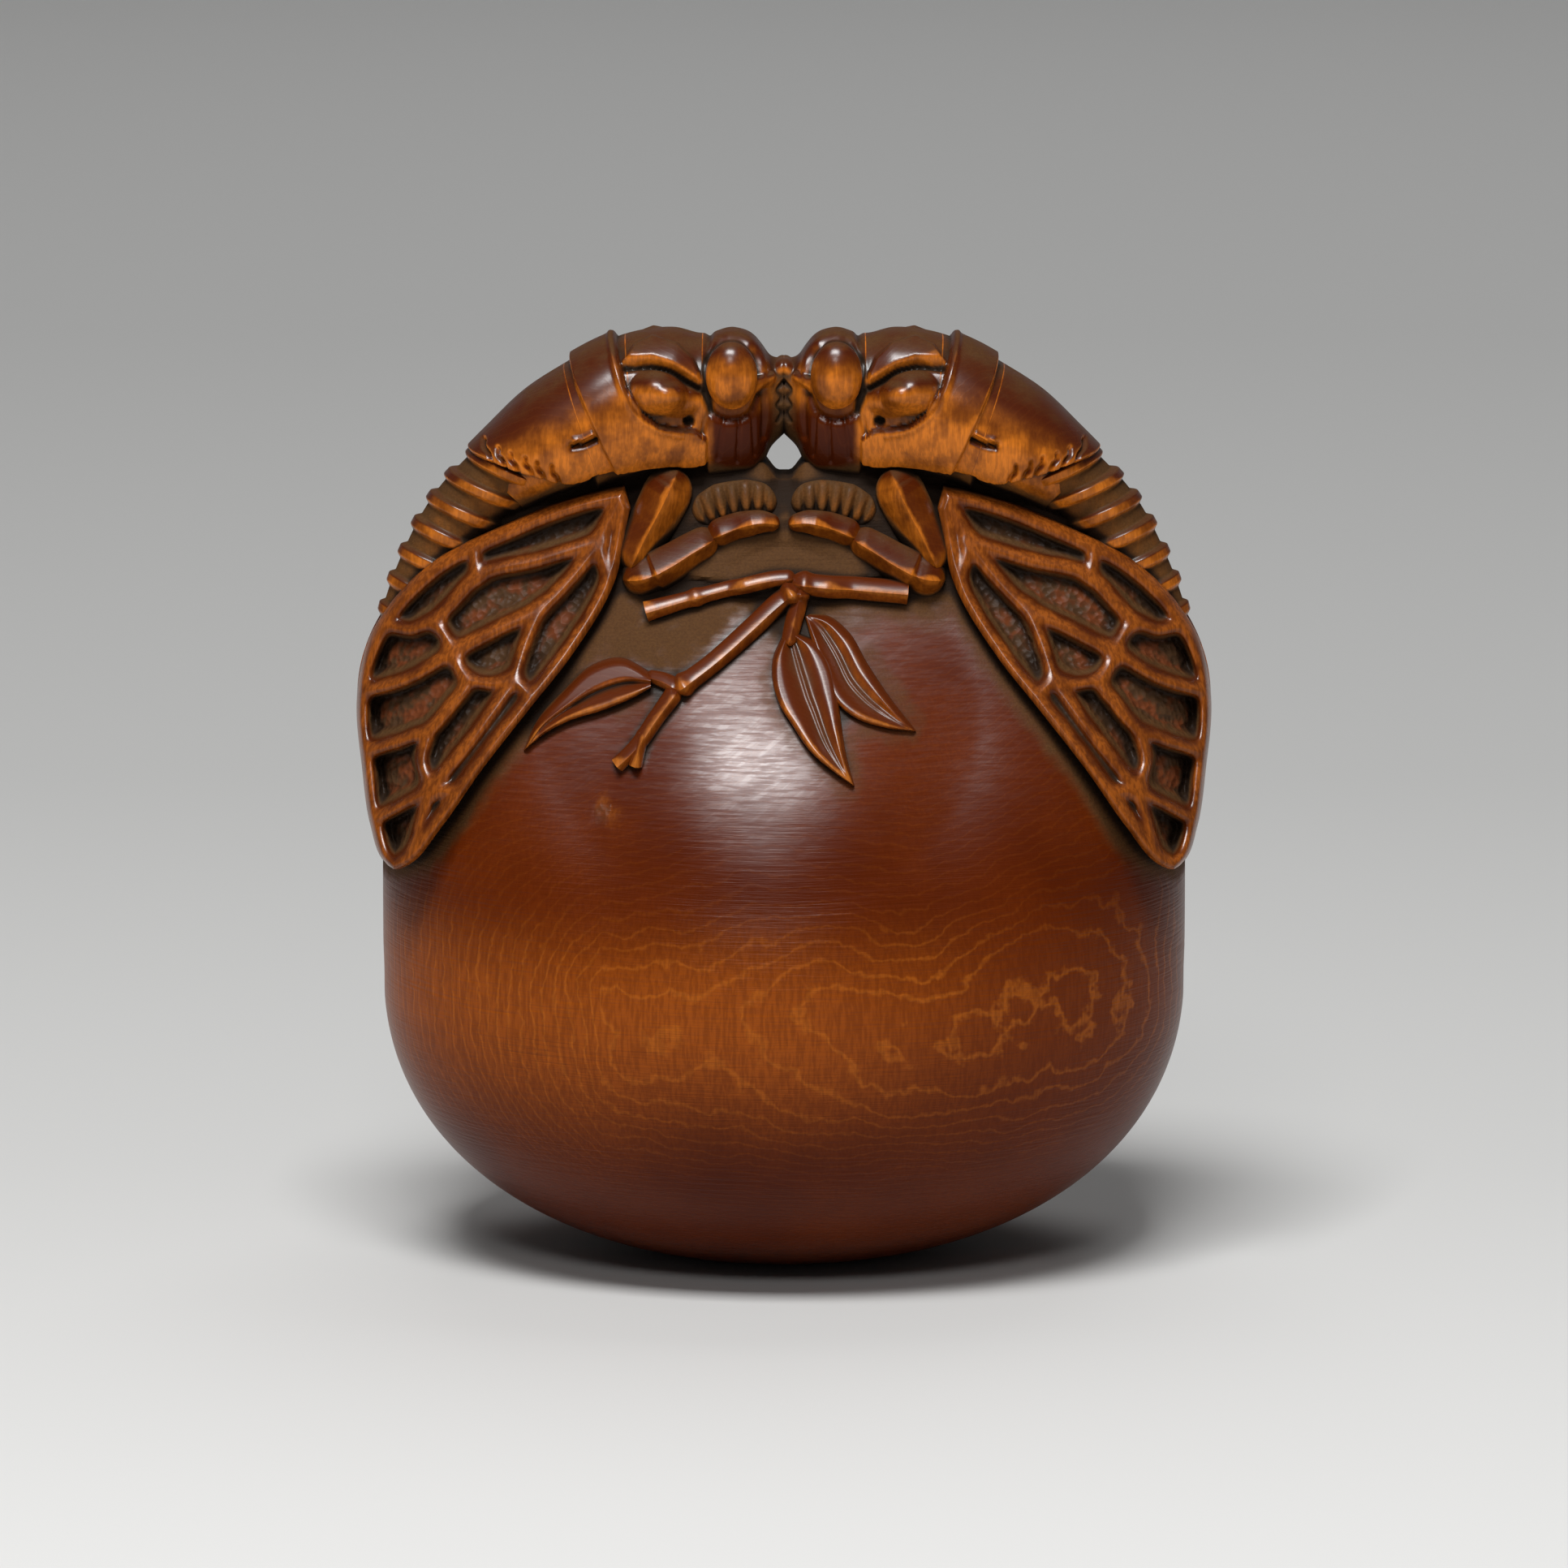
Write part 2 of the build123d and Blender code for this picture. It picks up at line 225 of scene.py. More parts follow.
@dataclass
class Piece:
    """A finished form before it becomes a mesh: its corners, its faces and how its surface is used."""

    name: str
    nodes: tuple[str, ...]
    slot: Slot
    corners: Array
    quads: Array
    triangles: Array
    masks: dict[str, Array] = field(default_factory=dict)
    crease: float = 50.0

    def mirrored(self, name: str, axis: int) -> "Piece":
        """The same piece on the other side of the middle plane.

        Args:
            name: name of the copy, and of the node it stands for.
            axis: 0 to swap left and right, 1 to swap front and back.

        Returns:
            The copy.
        """
        corners = self.corners.copy()
        corners[:, axis] *= -1
        return Piece(name, (name,), self.slot, corners, self.quads, self.triangles, dict(self.masks), self.crease)

    def joined(self, other: "Piece") -> "Piece":
        """This piece and another as one.

        Args:
            other: the piece to add.

        Returns:
            The joined piece, with this one's name.
        """
        shift = len(self.corners)
        masks = {name: np.append(values, other.masks[name]) for name, values in self.masks.items()}
        corners = np.vstack((self.corners, other.corners))
        quads = np.vstack((self.quads, other.quads + shift))
        fans = np.vstack((self.triangles, other.triangles + shift))
        return Piece(self.name, self.nodes, self.slot, corners, quads, fans, masks, self.crease)

    def spread(self) -> tuple[Array, Array, bool]:
        """Every face as triangles.

        Returns:
            The triangles, their normals, and whether they look inward.
        """
        split = np.vstack((self.quads[:, [0, 1, 2]], self.quads[:, [0, 2, 3]], self.triangles))
        first, second, third = (self.corners[split[:, i]] for i in range(3))
        inward = np.einsum("ij,ij->i", first, np.cross(second, third)).sum() < 0
        return split, np.cross(second - first, third - first), bool(inward)

    def upward(self) -> Array:
        """How far each corner faces up, 1 for straight up: the mean of its faces' normals.

        Returns:
            One value for each corner.
        """
        split, normals, inward = self.spread()
        total = np.zeros_like(self.corners)
        for place in range(3):
            np.add.at(total, split[:, place], -normals if inward else normals)
        return total[:, 2] / (np.linalg.norm(total, axis=1) + 1e-12)

    def mesh(self, weld: bool = False) -> bpy.types.Object:
        """Makes the mesh, with outward faces and the masks as attributes.

        Args:
            weld: whether corners that meet are joined into one.

        Returns:
            The object, at the origin.
        """
        flip = self.spread()[2]
        quads = self.quads[:, ::-1] if flip else self.quads
        triangles = self.triangles[:, ::-1] if flip else self.triangles
        label = self.name.capitalize()
        mesh = bpy.data.meshes.new(label)
        mesh.vertices.add(len(self.corners))
        mesh.vertices.foreach_set("co", (self.corners * MM).astype(np.float32).ravel())
        sizes = np.concatenate((np.full(len(quads), 4), np.full(len(triangles), 3)))
        mesh.loops.add(int(sizes.sum()))
        order = np.concatenate((quads.ravel(), triangles.ravel()))
        mesh.loops.foreach_set("vertex_index", order.astype(np.int32))
        mesh.polygons.add(len(sizes))
        mesh.polygons.foreach_set("loop_start", (np.cumsum(sizes) - sizes).astype(np.int32))
        mesh.update(calc_edges=True)
        for name, values in self.masks.items():
            layer = mesh.attributes.new(name, "FLOAT", "POINT")
            layer.data.foreach_set("value", values.astype(np.float32))
        if weld:
            sheet = bmesh.new()
            sheet.from_mesh(mesh)
            bmesh.ops.remove_doubles(sheet, verts=sheet.verts, dist=WELD * MM)
            bmesh.ops.recalc_face_normals(sheet, faces=sheet.faces)
            sheet.to_mesh(mesh)
            sheet.free()
        mesh.polygons.foreach_set("use_smooth", np.ones(len(mesh.polygons), bool))
        mesh.set_sharp_from_angle(angle=math.radians(self.crease))
        made = bpy.data.objects.new(label, mesh)
        bpy.context.scene.collection.objects.link(made)
        return made


def sleeve(rings: Array) -> tuple[Array, Array, Array]:
    """Closed skin over a row of rings: quads between the rings, and a fan on each end.

    Args:
        rings: corners, by ring, then place round the ring.

    Returns:
        Corners, quads and triangles.
    """
    count, around = rings.shape[:2]
    index = np.arange(count * around).reshape(count, around)
    after = np.roll(index, -1, axis=1)
    quads = np.stack((index[:-1], after[:-1], after[1:], index[1:]), axis=-1).reshape(-1, 4)
    tips = np.stack((rings[0].mean(axis=0), rings[-1].mean(axis=0)))
    first, last = count * around, count * around + 1
    start = np.stack((after[0], index[0], np.full(around, first)), axis=-1)
    end = np.stack((index[-1], after[-1], np.full(around, last)), axis=-1)
    return np.vstack((rings.reshape(-1, 3), tips)), quads, np.vstack((start, end))


def shell(at: Array, top: Array, bed: Array, columns: int, under: int) -> tuple[Array, Array, Array]:
    """Closed skin of a flat form: its top, and a coarser underside.

    Args:
        at: points in the plane of the front, row by row.
        top: how far the top stands off the middle plane.
        bed: how far the underside stands off it.
        columns: points in a row.
        under: points in a row of the underside.

    Returns:
        Corners, quads and triangles.
    """
    over, below = (np.column_stack((at[:, 0], -out, at[:, 1])).reshape(-1, columns, 3) for out in (top, bed))
    back = np.linspace(columns - 1, 0, under).astype(int)
    return sleeve(np.concatenate((over, below[:, back]), axis=1))


def over_shell(values: Array, columns: int, under: int) -> Array:
    """A mask of a shell's top, with 0 on its underside and its two ends."""
    return np.append(np.pad(values.reshape(-1, columns), ((0, 0), (0, under))), (0.0, 0.0))


@dataclass(frozen=True)
class BellyForm:
    """The turned and pinched form of the drum, to which all the ornament is fitted."""

    width: float = 40.9
    depth: float = 32.4
    belly_height: float = 14.6
    crest_height: float = 40.0
    crest_thickness: float = 6.4
    round_over: float = 0.4
    foot_cut: float = 0.35
    belly_power: float = 2.2
    shoulder_power: float = 4.0
    waist_power: float = 1.15
    knot: Point = (-9.0, 24.7)
    ground: tuple[Carving, ...] = (
        # mound under the twig and its crease
        plate(
            ((-5.6, 35.6), (-4.2, 36.6), (-1.9, 38.0), (0.1, 38.5), (1.6, 38.2), (3.0, 37.4), (6.4, 35.7), (0.5, 34.6)),
            0.4,
            0.38,
        ),
        stroke(((-2.6, 36.0), (-0.2, 36.9), (2.6, 36.2)), 0.18, -0.12),
        # full breast between two shallow hollows, and the pit of a small knot
        dome((-1.2, 28.6), (11.0, 8.2), 1.0),
        stroke(((-8.2, 28.0), (-9.0, 24.5), (-8.6, 20.5)), 3.2, -0.4),
        stroke(((7.6, 26.5), (7.4, 23.0), (7.0, 19.5)), 3.2, -0.4),
        dome(knot, (0.55, 0.4), -0.14),
    )

    def _bowl(self, level: Array) -> Array:
        """Share of the full size below the widest level, along a superellipse."""
        drop = np.clip((self.belly_height - level) / (self.belly_height + self.foot_cut), 0, 1)
        return (1 - drop**self.belly_power) ** (1 / self.belly_power)

    def half_width(self, level: Array) -> Array:
        """Half the body's width at a level.

        Below the widest level the side follows a superellipse, above it a squarer one.

        Args:
            level: heights above the foot.

        Returns:
            Half widths.
        """
        reach = self.crest_height + self.round_over - self.belly_height
        climb = np.clip((np.minimum(level, self.crest_height) - self.belly_height) / reach, 0, 1)
        shoulder = (1 - climb**self.shoulder_power) ** (1 / self.shoulder_power)
        return self.width / 2 * np.where(level < self.belly_height, self._bowl(level), shoulder)

    def half_depth(self, level: Array) -> Array:
        """Half the body's depth at a level.

        Below the widest level the side follows a superellipse, above it a cosine that pinches the
        belly into the crest.

        Args:
            level: heights above the foot.

        Returns:
            Half depths.
        """
        climb = np.clip((level - self.belly_height) / (self.crest_height - self.belly_height), 0, 1)
        full = (1 + np.cos(np.pi * climb**self.waist_power)) / 2
        pinched = self.crest_thickness / 2 + (self.depth - self.crest_thickness) / 2 * full
        return np.where(level < self.belly_height, self.depth / 2 * self._bowl(level), pinched)

    def reach(self, at: Array) -> Array:
        """How far the plain front stands off the middle plane: each level is an ellipse."""
        return arch(at[:, 0], self.half_width(at[:, 1]), self.half_depth(at[:, 1]))

    def front(self, at: Array) -> Array:
        """How far the front stands off the middle plane with its dressed ground."""
        return self.reach(at) + carved(self.ground, at)


FORM = BellyForm()


@dataclass(frozen=True)
class SoundBody:
    """The hollow belly with its slit, its crest and the dressed ground under the ornament."""

    wall: float = 4.2
    cavity_roof: float = 28.0
    slit_half: float = 1.2
    slit_end_radius: float = 1.7
    columns: int = 200
    outer_rows: int = 96
    slit_rows: int = 56
    cap_rows: int = 5
    inner_rows: int = 16
    crest_wear: float = 1.3  # how far the crest's top edge is rubbed back
    crest_wear_drop: float = 1.6
    crest_rise: float = 0.85  # beside the cord hole
    crest_rise_from: float = 38.8
    hole_flank: Point = (0.25, 1.15)
    knot_glow: float = 0.6
    knot_halo: float = 0.8
    knot_core: float = 0.34
    crest_dust: Point = (31.2, 35.4)  # levels where dust begins and is full
    wing_dust: Point = (1.9, 0.2)  # distances from a wing's foot
    wing_dust_most: float = 0.9
    leaf_dust: Point = (1.2, 0.1)
    leaf_dust_most: float = 0.5
    lee_dust: Point = (-0.9, 0.6)
    lee_dust_most: float = 0.9
    lowest_dust: float = 15.0
    cloud_grid: tuple[int, int] = (420, 520)
    crease: float = 40.0
    wing_foot: tuple[Point, ...] = (
        (8.0, 37.5), (8.7, 35.0), (10.6, 31.8), (12.6, 29.4), (15.1, 26.3), (17.0, 23.6), (18.7, 21.5), (20.0, 20.9),
    )
    lee: tuple[Point, ...] = (
        (-8.4, 36.0), (-6.8, 34.1), (-0.5, 35.2), (-5.2, 30.9), (-7.2, 31.4), (-9.6, 31.2), (-11.4, 29.9),
        (-12.8, 28.2), (-12.4, 29.7), (-10.4, 32.1),
    )
    leaf_side: tuple[Point, ...] = (
        (-0.4, 32.4), (-0.8, 30.6), (0.0, 28.9), (1.6, 27.2), (3.4, 26.0), (3.2, 28.2), (4.6, 28.6), (6.4, 28.4),
        (5.4, 30.4), (4.2, 32.0),
    )

    def slit(self, level: Array) -> Array:
        """Half the gap of the slit at a level: straight sides, a round end, and nothing above it."""
        over = np.clip(self.slit_end_radius**2 - (level - FORM.belly_height) ** 2, 0, None) ** 0.5
        return np.where(level < FORM.belly_height, np.maximum(self.slit_half, over), over)

    def ring(self, level: Array, inset: float) -> Array:
        """Front half rings: an ellipse at each level, from one lip of the slit round to the other.

        Args:
            level: heights of the rings.
            inset: how far inside the outer form they lie.

        Returns:
            Points, by ring, then column.
        """
        worn = self.crest_wear * np.clip((level - FORM.crest_height) / self.crest_wear_drop + 1, 0, 1) ** 2
        wide = (FORM.half_width(level) - inset)[:, None]
        deep = (FORM.half_depth(level) - inset - worn)[:, None]
        lip = np.arcsin(np.clip(self.slit(level)[:, None] / deep, 0, 1))
        turn = lip + (np.pi - 2 * lip) * np.linspace(0, 1, self.columns)[None, :]
        lifted = smooth_step(*self.hole_flank, np.abs(wide * np.cos(turn)))
        high = smooth_step(self.crest_rise_from, FORM.crest_height, level)[:, None]
        heights = level[:, None] + self.crest_rise * lifted * high
        return np.stack((wide * np.cos(turn), -deep * np.sin(turn), heights), axis=-1)

    def closing(self, ring: Array, gap: float, inward: bool) -> Array:
        """Flat rows that close a ring towards the slit or the middle plane.

        Args:
            ring: the ring to close.
            gap: half the gap left in the middle.
            inward: whether the rows run away from the ring.

        Returns:
            Points, by row, then column.
        """
        shares = np.linspace(0, 1, self.cap_rows + 1)[1:]
        rows = np.repeat(ring[None], len(shares), axis=0)
        rows[:, :, 1] = -(gap + (-ring[None, :, 1] - gap) * (1 - shares[:, None]))
        return rows if inward else rows[::-1]

    def half(self, front: bool) -> tuple[Array, Array]:
        """Corners and quads of the front or the back half.

        Rows run from the middle of the crest down the outside, over the foot into the slit, and up
        the inside to the middle of the cavity roof; strips join the lips of the slit.

        Args:
            front: whether this half carries the ornament's ground.

        Returns:
            Corners and quads.
        """
        slit_top = FORM.belly_height + self.slit_end_radius
        turns = np.linspace(0, np.pi / 2, self.outer_rows)
        upper = slit_top + (FORM.crest_height - slit_top) * np.cos(turns)
        lower = np.linspace(slit_top, 0, self.slit_rows)
        outer = self.ring(np.concatenate((upper, lower[1:])), 0.0)
        if front:
            flat = outer.reshape(-1, 3)
            flat[:, 1] = np.maximum(flat[:, 1] - carved(FORM.ground, flat[:, [0, 2]]), -FORM.depth / 2)
        floor = slit_top - (slit_top - self.wall) * np.linspace(1, 0, self.slit_rows)
        inside = np.concatenate((floor, np.linspace(slit_top, self.cavity_roof, self.inner_rows)[1:]))
        inner = self.ring(inside, self.wall)
        rows = np.concatenate((
            self.closing(outer[0], 0.0, False),
            outer,
            self.closing(outer[-1], self.slit_half, True),
            self.closing(inner[0], self.slit_half, False),
            inner,
            self.closing(inner[-1], 0.0, True),
        ))
        index = np.arange(rows.shape[0] * self.columns).reshape(rows.shape[:2])
        grid = (index[:-1, :-1], index[:-1, 1:], index[1:, 1:], index[1:, :-1])
        faces = [np.stack(grid, axis=-1).reshape(-1, 4)]
        first_outer = self.cap_rows + self.outer_rows - 1
        first_inner = self.cap_rows + len(outer) + 2 * self.cap_rows
        for edge in (0, self.columns - 1):
            out = index[first_outer : first_outer + self.slit_rows, edge]
            into = index[first_inner : first_inner + self.slit_rows, edge][::-1]
            faces.append(np.stack((out[:-1], out[1:], into[1:], into[:-1]), axis=-1))
        corners = rows.reshape(-1, 3).copy()
        if not front:
            corners[:, 1] *= -1
        return corners, np.vstack(faces)

    def build(self) -> list[Piece]:
        """The body as one piece, front and back halves together.

        Returns:
            The one piece.
        """
        front, quads = self.half(True)
        back, back_quads = self.half(False)
        corners = np.vstack((front, back))
        faces = np.vstack((quads, back_quads + len(front)))
        none = np.zeros((0, 3), int)
        dusty = np.concatenate((self.ground_dust(front, True), self.ground_dust(back, False)))
        knot = np.where(corners[:, 1] > 0, np.inf, np.hypot(*(corners[:, [0, 2]] - FORM.knot).T))
        masks = {
            "settle": dusty,
            "proud": self.knot_glow * np.exp(-((knot / self.knot_halo) ** 2)),
            "cell": np.exp(-((knot / self.knot_core) ** 4)),
        }
        return [Piece("sound_body", ("sound_body",), Slot.BODY, corners, faces, none, masks, self.crease)]

    def ground_dust(self, corners: Array, front: bool) -> Array:
        """Dust on the dressed ground: on the crest, in the lee of the twig, and along the wings.

        Args:
            corners: corners of one half.
            front: whether this half carries the twig.

        Returns:
            Shares from 0 to 1.
        """
        at = corners[:, [0, 2]]
        dust = smooth_step(*self.crest_dust, at[:, 1])
        foot = stroke_gap(np.abs(at), np.array(self.wing_foot))
        dust = np.maximum(dust, self.wing_dust_most * smooth_step(*self.wing_dust, foot))
        if front:
            halo = stroke_gap(at, through(np.array(self.leaf_side), np.linspace(0, 1, 30)))
            dust = np.maximum(dust, self.leaf_dust_most * smooth_step(*self.leaf_dust, halo))
            lee = np.array(self.lee)
            gap = stroke_gap(at, np.vstack((lee, lee[:1])))
            sheltered = smooth_step(*self.lee_dust, np.where(within(at, lee), gap, -gap))
            dust = np.maximum(dust, self.lee_dust_most * sheltered)
        return dust * (corners[:, 2] > self.lowest_dust)

    def cloud(self) -> Array:
        """A dense cloud of points on the outside, for judging how sheltered each place is.

        Returns:
            Points, one a row.
        """
        rows, columns = self.cloud_grid
        levels, shares = np.linspace(0, FORM.crest_height, rows), np.linspace(-1, 1, columns)
        level, across = np.meshgrid(levels, shares, indexing="ij")
        at = np.stack((across * FORM.half_width(level), level), axis=-1).reshape(-1, 2)
        front, back = -FORM.front(at), FORM.reach(at)
        return np.vstack([np.column_stack((at[:, 0], side, at[:, 1])) for side in (front, back)])


@dataclass(frozen=True)
class Trunk:
    """Head and trunk of a cicada: oval sections from the nose to the waist, then carved."""

    sections: tuple[tuple[float, float, float, float, float], ...] = (
        (0.0, 45.9, 0.0, 42.1, 1.5),
        (0.6, 46.0, 0.6, 41.5, 1.9),
        (1.2, 46.6, 1.05, 40.6, 2.6),
        (1.8, 47.2, 1.6, 39.9, 3.2),
        (2.7, 47.4, 2.6, 39.7, 3.5),
        (3.5, 47.2, 3.4, 39.6, 3.5),
        (4.1, 47.15, 4.1, 39.6, 3.5),
        (5.6, 47.45, 5.7, 39.5, 3.85),
        (8.0, 47.1, 7.2, 39.4, 4.2),
        (9.6, 46.45, 8.0, 39.2, 4.35),
        (11.1, 45.6, 8.8, 38.9, 4.4),
        (13.1, 44.3, 10.1, 38.5, 4.35),
        (15.1, 42.4, 11.5, 38.0, 4.0),
        (16.3, 41.2, 12.5, 37.4, 3.3),
    )
    neck: int = 6
    nape: int = 8
    waist: int = 10
    columns: int = 260
    flatness: float = 2.35
    parts: tuple[tuple[str, int], ...] = (("head", 110), ("pronotum", 90), ("collar", 70), ("mesonotum", 120))
    cheek_level: Point = (44.9, 43.2)  # painted shade below
    cheek_side: Point = (4.0, 3.4)
    face_side: Point = (1.5, 0.7)
    face_dust: float = 0.25
    marks: tuple[Carving, ...] = (
        # collar: a broad plate with a thin front rim
        plate(
            (
                (8.6, 48.5), (8.5, 47.2), (8.2, 45.9), (7.9, 44.9), (7.1, 43.6), (6.3, 43.0), (5.3, 42.8), (4.4, 42.65),
                (3.85, 42.2), (3.9, 41.0), (4.7, 40.85), (5.8, 40.95), (7.2, 40.8), (8.45, 40.6), (9.0, 41.8),
                (9.6, 43.15), (10.4, 45.0), (10.95, 46.5), (11.2, 48.5),
            ),
            0.16,
            0.34,
        ),
        stroke(((8.75, 47.2), (8.45, 45.9), (8.1, 44.75), (7.3, 43.4), (6.4, 42.8), (5.2, 42.5)), 0.14, 0.1),
        # pronotum: a brow lobe over a round bulge
        plate(
            (
                (8.0, 46.1), (7.5, 46.75), (6.6, 47.15), (5.4, 46.85), (4.65, 46.15), (4.3, 45.5), (4.3, 45.05),
                (4.75, 45.3), (5.6, 45.85), (6.6, 46.15), (7.4, 46.1),
            ),
            0.3,
            0.34,
        ),
        stroke(((7.9, 45.85), (6.6, 45.9), (5.6, 45.6), (4.7, 45.05), (4.3, 44.8)), 0.15, -0.32),
        dome((6.35, 44.65), (1.5, 1.2), 1.05),
        dome((5.3, 44.2), (1.4, 0.95), 0.55),
        dome((4.75, 43.2), (0.36, 0.3), -0.5),
        # head: neck line, eye socket under a hood, striped cheek, beaded face
        stroke(
            ((3.5, 48.0), (3.75, 47.1), (3.95, 46.0), (3.95, 45.0), (3.65, 43.9), (3.9, 43.3), (4.1, 42.6)), 0.16, -0.16
        ),
        stroke(((4.05, 45.2), (3.75, 46.5), (2.9, 47.1), (1.7, 46.8), (1.05, 45.7), (1.0, 44.9)), 0.24, 0.16),
        stroke(((3.8, 46.2), (3.5, 46.7), (3.1, 47.0), (2.3, 47.05), (1.6, 46.5), (1.25, 45.4)), 0.15, -0.3),
        stroke(((4.0, 44.6), (3.5, 43.5), (2.6, 43.2), (1.7, 43.5), (1.2, 44.4)), 0.16, -0.25),
        stroke(((3.05, 43.2), (3.2, 42.2), (3.3, 41.2)), 0.12, -0.08),
        stroke(((2.25, 43.1), (2.3, 42.1), (2.35, 41.0)), 0.1, -0.12),
        stroke(((1.55, 43.4), (1.5, 42.4), (1.45, 41.3)), 0.1, -0.12),
        stroke(((1.0, 44.6), (0.95, 43.4), (1.0, 42.2)), 0.14, -0.22),
        stroke(((0.0, 44.9), (0.3, 44.5), (0.1, 44.1), (0.3, 43.7), (0.1, 43.3), (0.3, 42.9)), 0.1, -0.16),
        dome((0.1, 45.6), (0.4, 0.4), 0.3),
        dome((0.7, 45.1), (0.34, 0.36), 0.28),
        # mesonotum: a notch at its front edge and a toothed hem
        stroke(((10.6, 42.0), (10.0, 42.1), (9.4, 42.35)), 0.14, -0.36),
        stroke(((10.5, 42.3), (10.0, 42.4), (9.6, 42.6)), 0.14, 0.14),
        *(
            stroke(((x, z + 0.05), (x + 0.15, z + 0.5), (x + 0.4, z + 0.8), (x + 0.4, z + 1.05)), 0.1, -0.26)
            for x, z in ((11.2, 39.9), (11.95, 40.1), (12.55, 40.3), (13.3, 40.5), (13.95, 40.7), (14.7, 41.0))
        ),
        # sunken ground below the plates
        plate(
            (
                (9.3, 40.4), (9.9, 40.05), (10.6, 39.9), (11.3, 39.95), (12.3, 40.25), (13.4, 40.55), (14.8, 41.05),
                (16.1, 41.45), (17.2, 41.9), (18.0, 40.0), (14.0, 36.0), (9.3, 36.0),
            ),
            0.24,
            -0.9,
        ),
        plate(
            (
                (3.9, 37.0), (3.9, 40.95), (4.7, 40.8), (5.8, 40.9), (7.2, 40.75), (8.45, 40.55), (9.5, 40.3),
                (9.5, 37.0),
            ),
            0.3,
            -0.5,
        ),
    )

    def skin(self, shares: Array) -> Array:
        """Carved surface of the trunk.

        Each section is an oval between a back point and a belly point; the sections are joined by
        smooth curves, and the chisel marks lift or sink the surface along its own normal.

        Args:
            shares: places along the trunk, 0 at the nose.

        Returns:
            Points, by section, then place round it.
        """
        rows = through(np.array(self.sections), shares)
        back, belly, thick = rows[:, :2], rows[:, 2:4], rows[:, 4:]
        turn = np.linspace(0, 2 * np.pi, self.columns, endpoint=False)
        power = 2 / self.flatness
        up = np.sign(np.cos(turn)) * np.abs(np.cos(turn)) ** power
        out = np.sign(np.sin(turn)) * np.abs(np.sin(turn)) ** power
        middle = (back + belly)[:, None, :] / 2
        flat = middle + (back - belly)[:, None, :] / 2 * up[None, :, None]
        base = np.stack((flat[..., 0], -thick * out[None, :], flat[..., 1]), axis=-1)
        around = np.roll(base, -1, axis=1) - np.roll(base, 1, axis=1)
        along = np.gradient(base, axis=0)
        normal = np.cross(around, along)
        normal /= np.linalg.norm(normal, axis=-1, keepdims=True) + 1e-9
        centre = np.stack((middle[..., 0], np.zeros_like(middle[..., 0]), middle[..., 1]), axis=-1)
        outward = np.sign(np.sum(normal * (base - centre), axis=-1, keepdims=True))
        lift = carved(self.marks, base[..., [0, 2]].reshape(-1, 2)).reshape(base.shape[:2])
        return base + normal * outward * lift[..., None]

    def build(self) -> list[Piece]:
        """Head, pronotum, collar and mesonotum of the right cicada, cut from one carved skin.

        Returns:
            The four pieces.
        """
        knots = knots_of(np.array(self.sections))
        stops = (0.0, knots[self.neck], knots[self.nape], knots[self.waist], 1.0)
        made = []
        for (name, rows), start, end in zip(self.parts, stops[:-1], stops[1:]):
            corners, quads, fans = sleeve(self.skin(np.linspace(start, end, rows)))
            # the shade mask paints shade on the lower face, below the eyes
            cheek = smooth_step(*self.cheek_level, corners[:, 2]) * smooth_step(*self.cheek_side, corners[:, 0])
            masks = {"shade": cheek, "settle": self.face_dust * smooth_step(*self.face_side, corners[:, 0])}
            made.append(Piece(f"right_{name}", (f"right_{name}",), Slot.INSECT, corners, quads, fans, masks))
        return made


@dataclass(frozen=True)
class Abdomen:
    """The ringed abdomen that runs down the shoulder under the wings."""

    sections: tuple[tuple[float, float, float, float, float], ...] = (
        (15.6, 41.7, 11.2, 39.6, 3.4),
        (16.6, 40.7, 12.2, 38.8, 3.05),
        (17.6, 39.6, 13.4, 37.8, 2.65),
        (18.6, 38.1, 14.6, 36.3, 2.25),
        (19.4, 36.5, 15.4, 34.8, 1.95),
        (20.1, 34.8, 16.3, 33.1, 1.75),
        (20.7, 32.8, 17.2, 31.2, 1.6),
        (21.1, 30.6, 18.0, 29.2, 1.5),
        (21.2, 28.6, 18.8, 27.8, 1.3),
        (20.9, 27.2, 19.2, 26.9, 1.1),
    )
    rings: float = 10.0
    step: float = 0.13
    band_start: Point = (0.0, 0.2)  # shares of a ring
    band_end: Point = (0.42, 0.62)
    step_dust: float = 0.85
    rows: int = 300
    columns: int = 110

    def build(self) -> list[Piece]:
        """The right abdomen.

        Oval sections along the shoulder; every ring is a flat polished band, then a sunken step.

        Returns:
            The one piece.
        """
        shares = np.linspace(0, 1, self.rows)
        rows = through(np.array(self.sections), shares)
        phase = (shares * self.rings) % 1.0
        band = smooth_step(*self.band_start, phase) - smooth_step(*self.band_end, phase)
        size = (1 - self.step * (1 - band))[:, None]
        turn = np.linspace(0, 2 * np.pi, self.columns, endpoint=False)
        middle = (rows[:, :2] + rows[:, 2:4])[:, None, :] / 2
        half = (rows[:, :2] - rows[:, 2:4])[:, None, :] / 2
        flat = middle + half * (size * np.cos(turn)[None, :])[..., None]
        out = -rows[:, 4:] * size * np.sin(turn)[None, :]
        corners, quads, fans = sleeve(np.stack((flat[..., 0], out, flat[..., 1]), axis=-1))
        sunk = np.append(np.repeat(1 - band, self.columns), (0.0, 0.0))
        masks = {"settle": self.step_dust * sunk}
        return [Piece("right_abdomen", ("right_abdomen",), Slot.INSECT, corners, quads, fans, masks)]


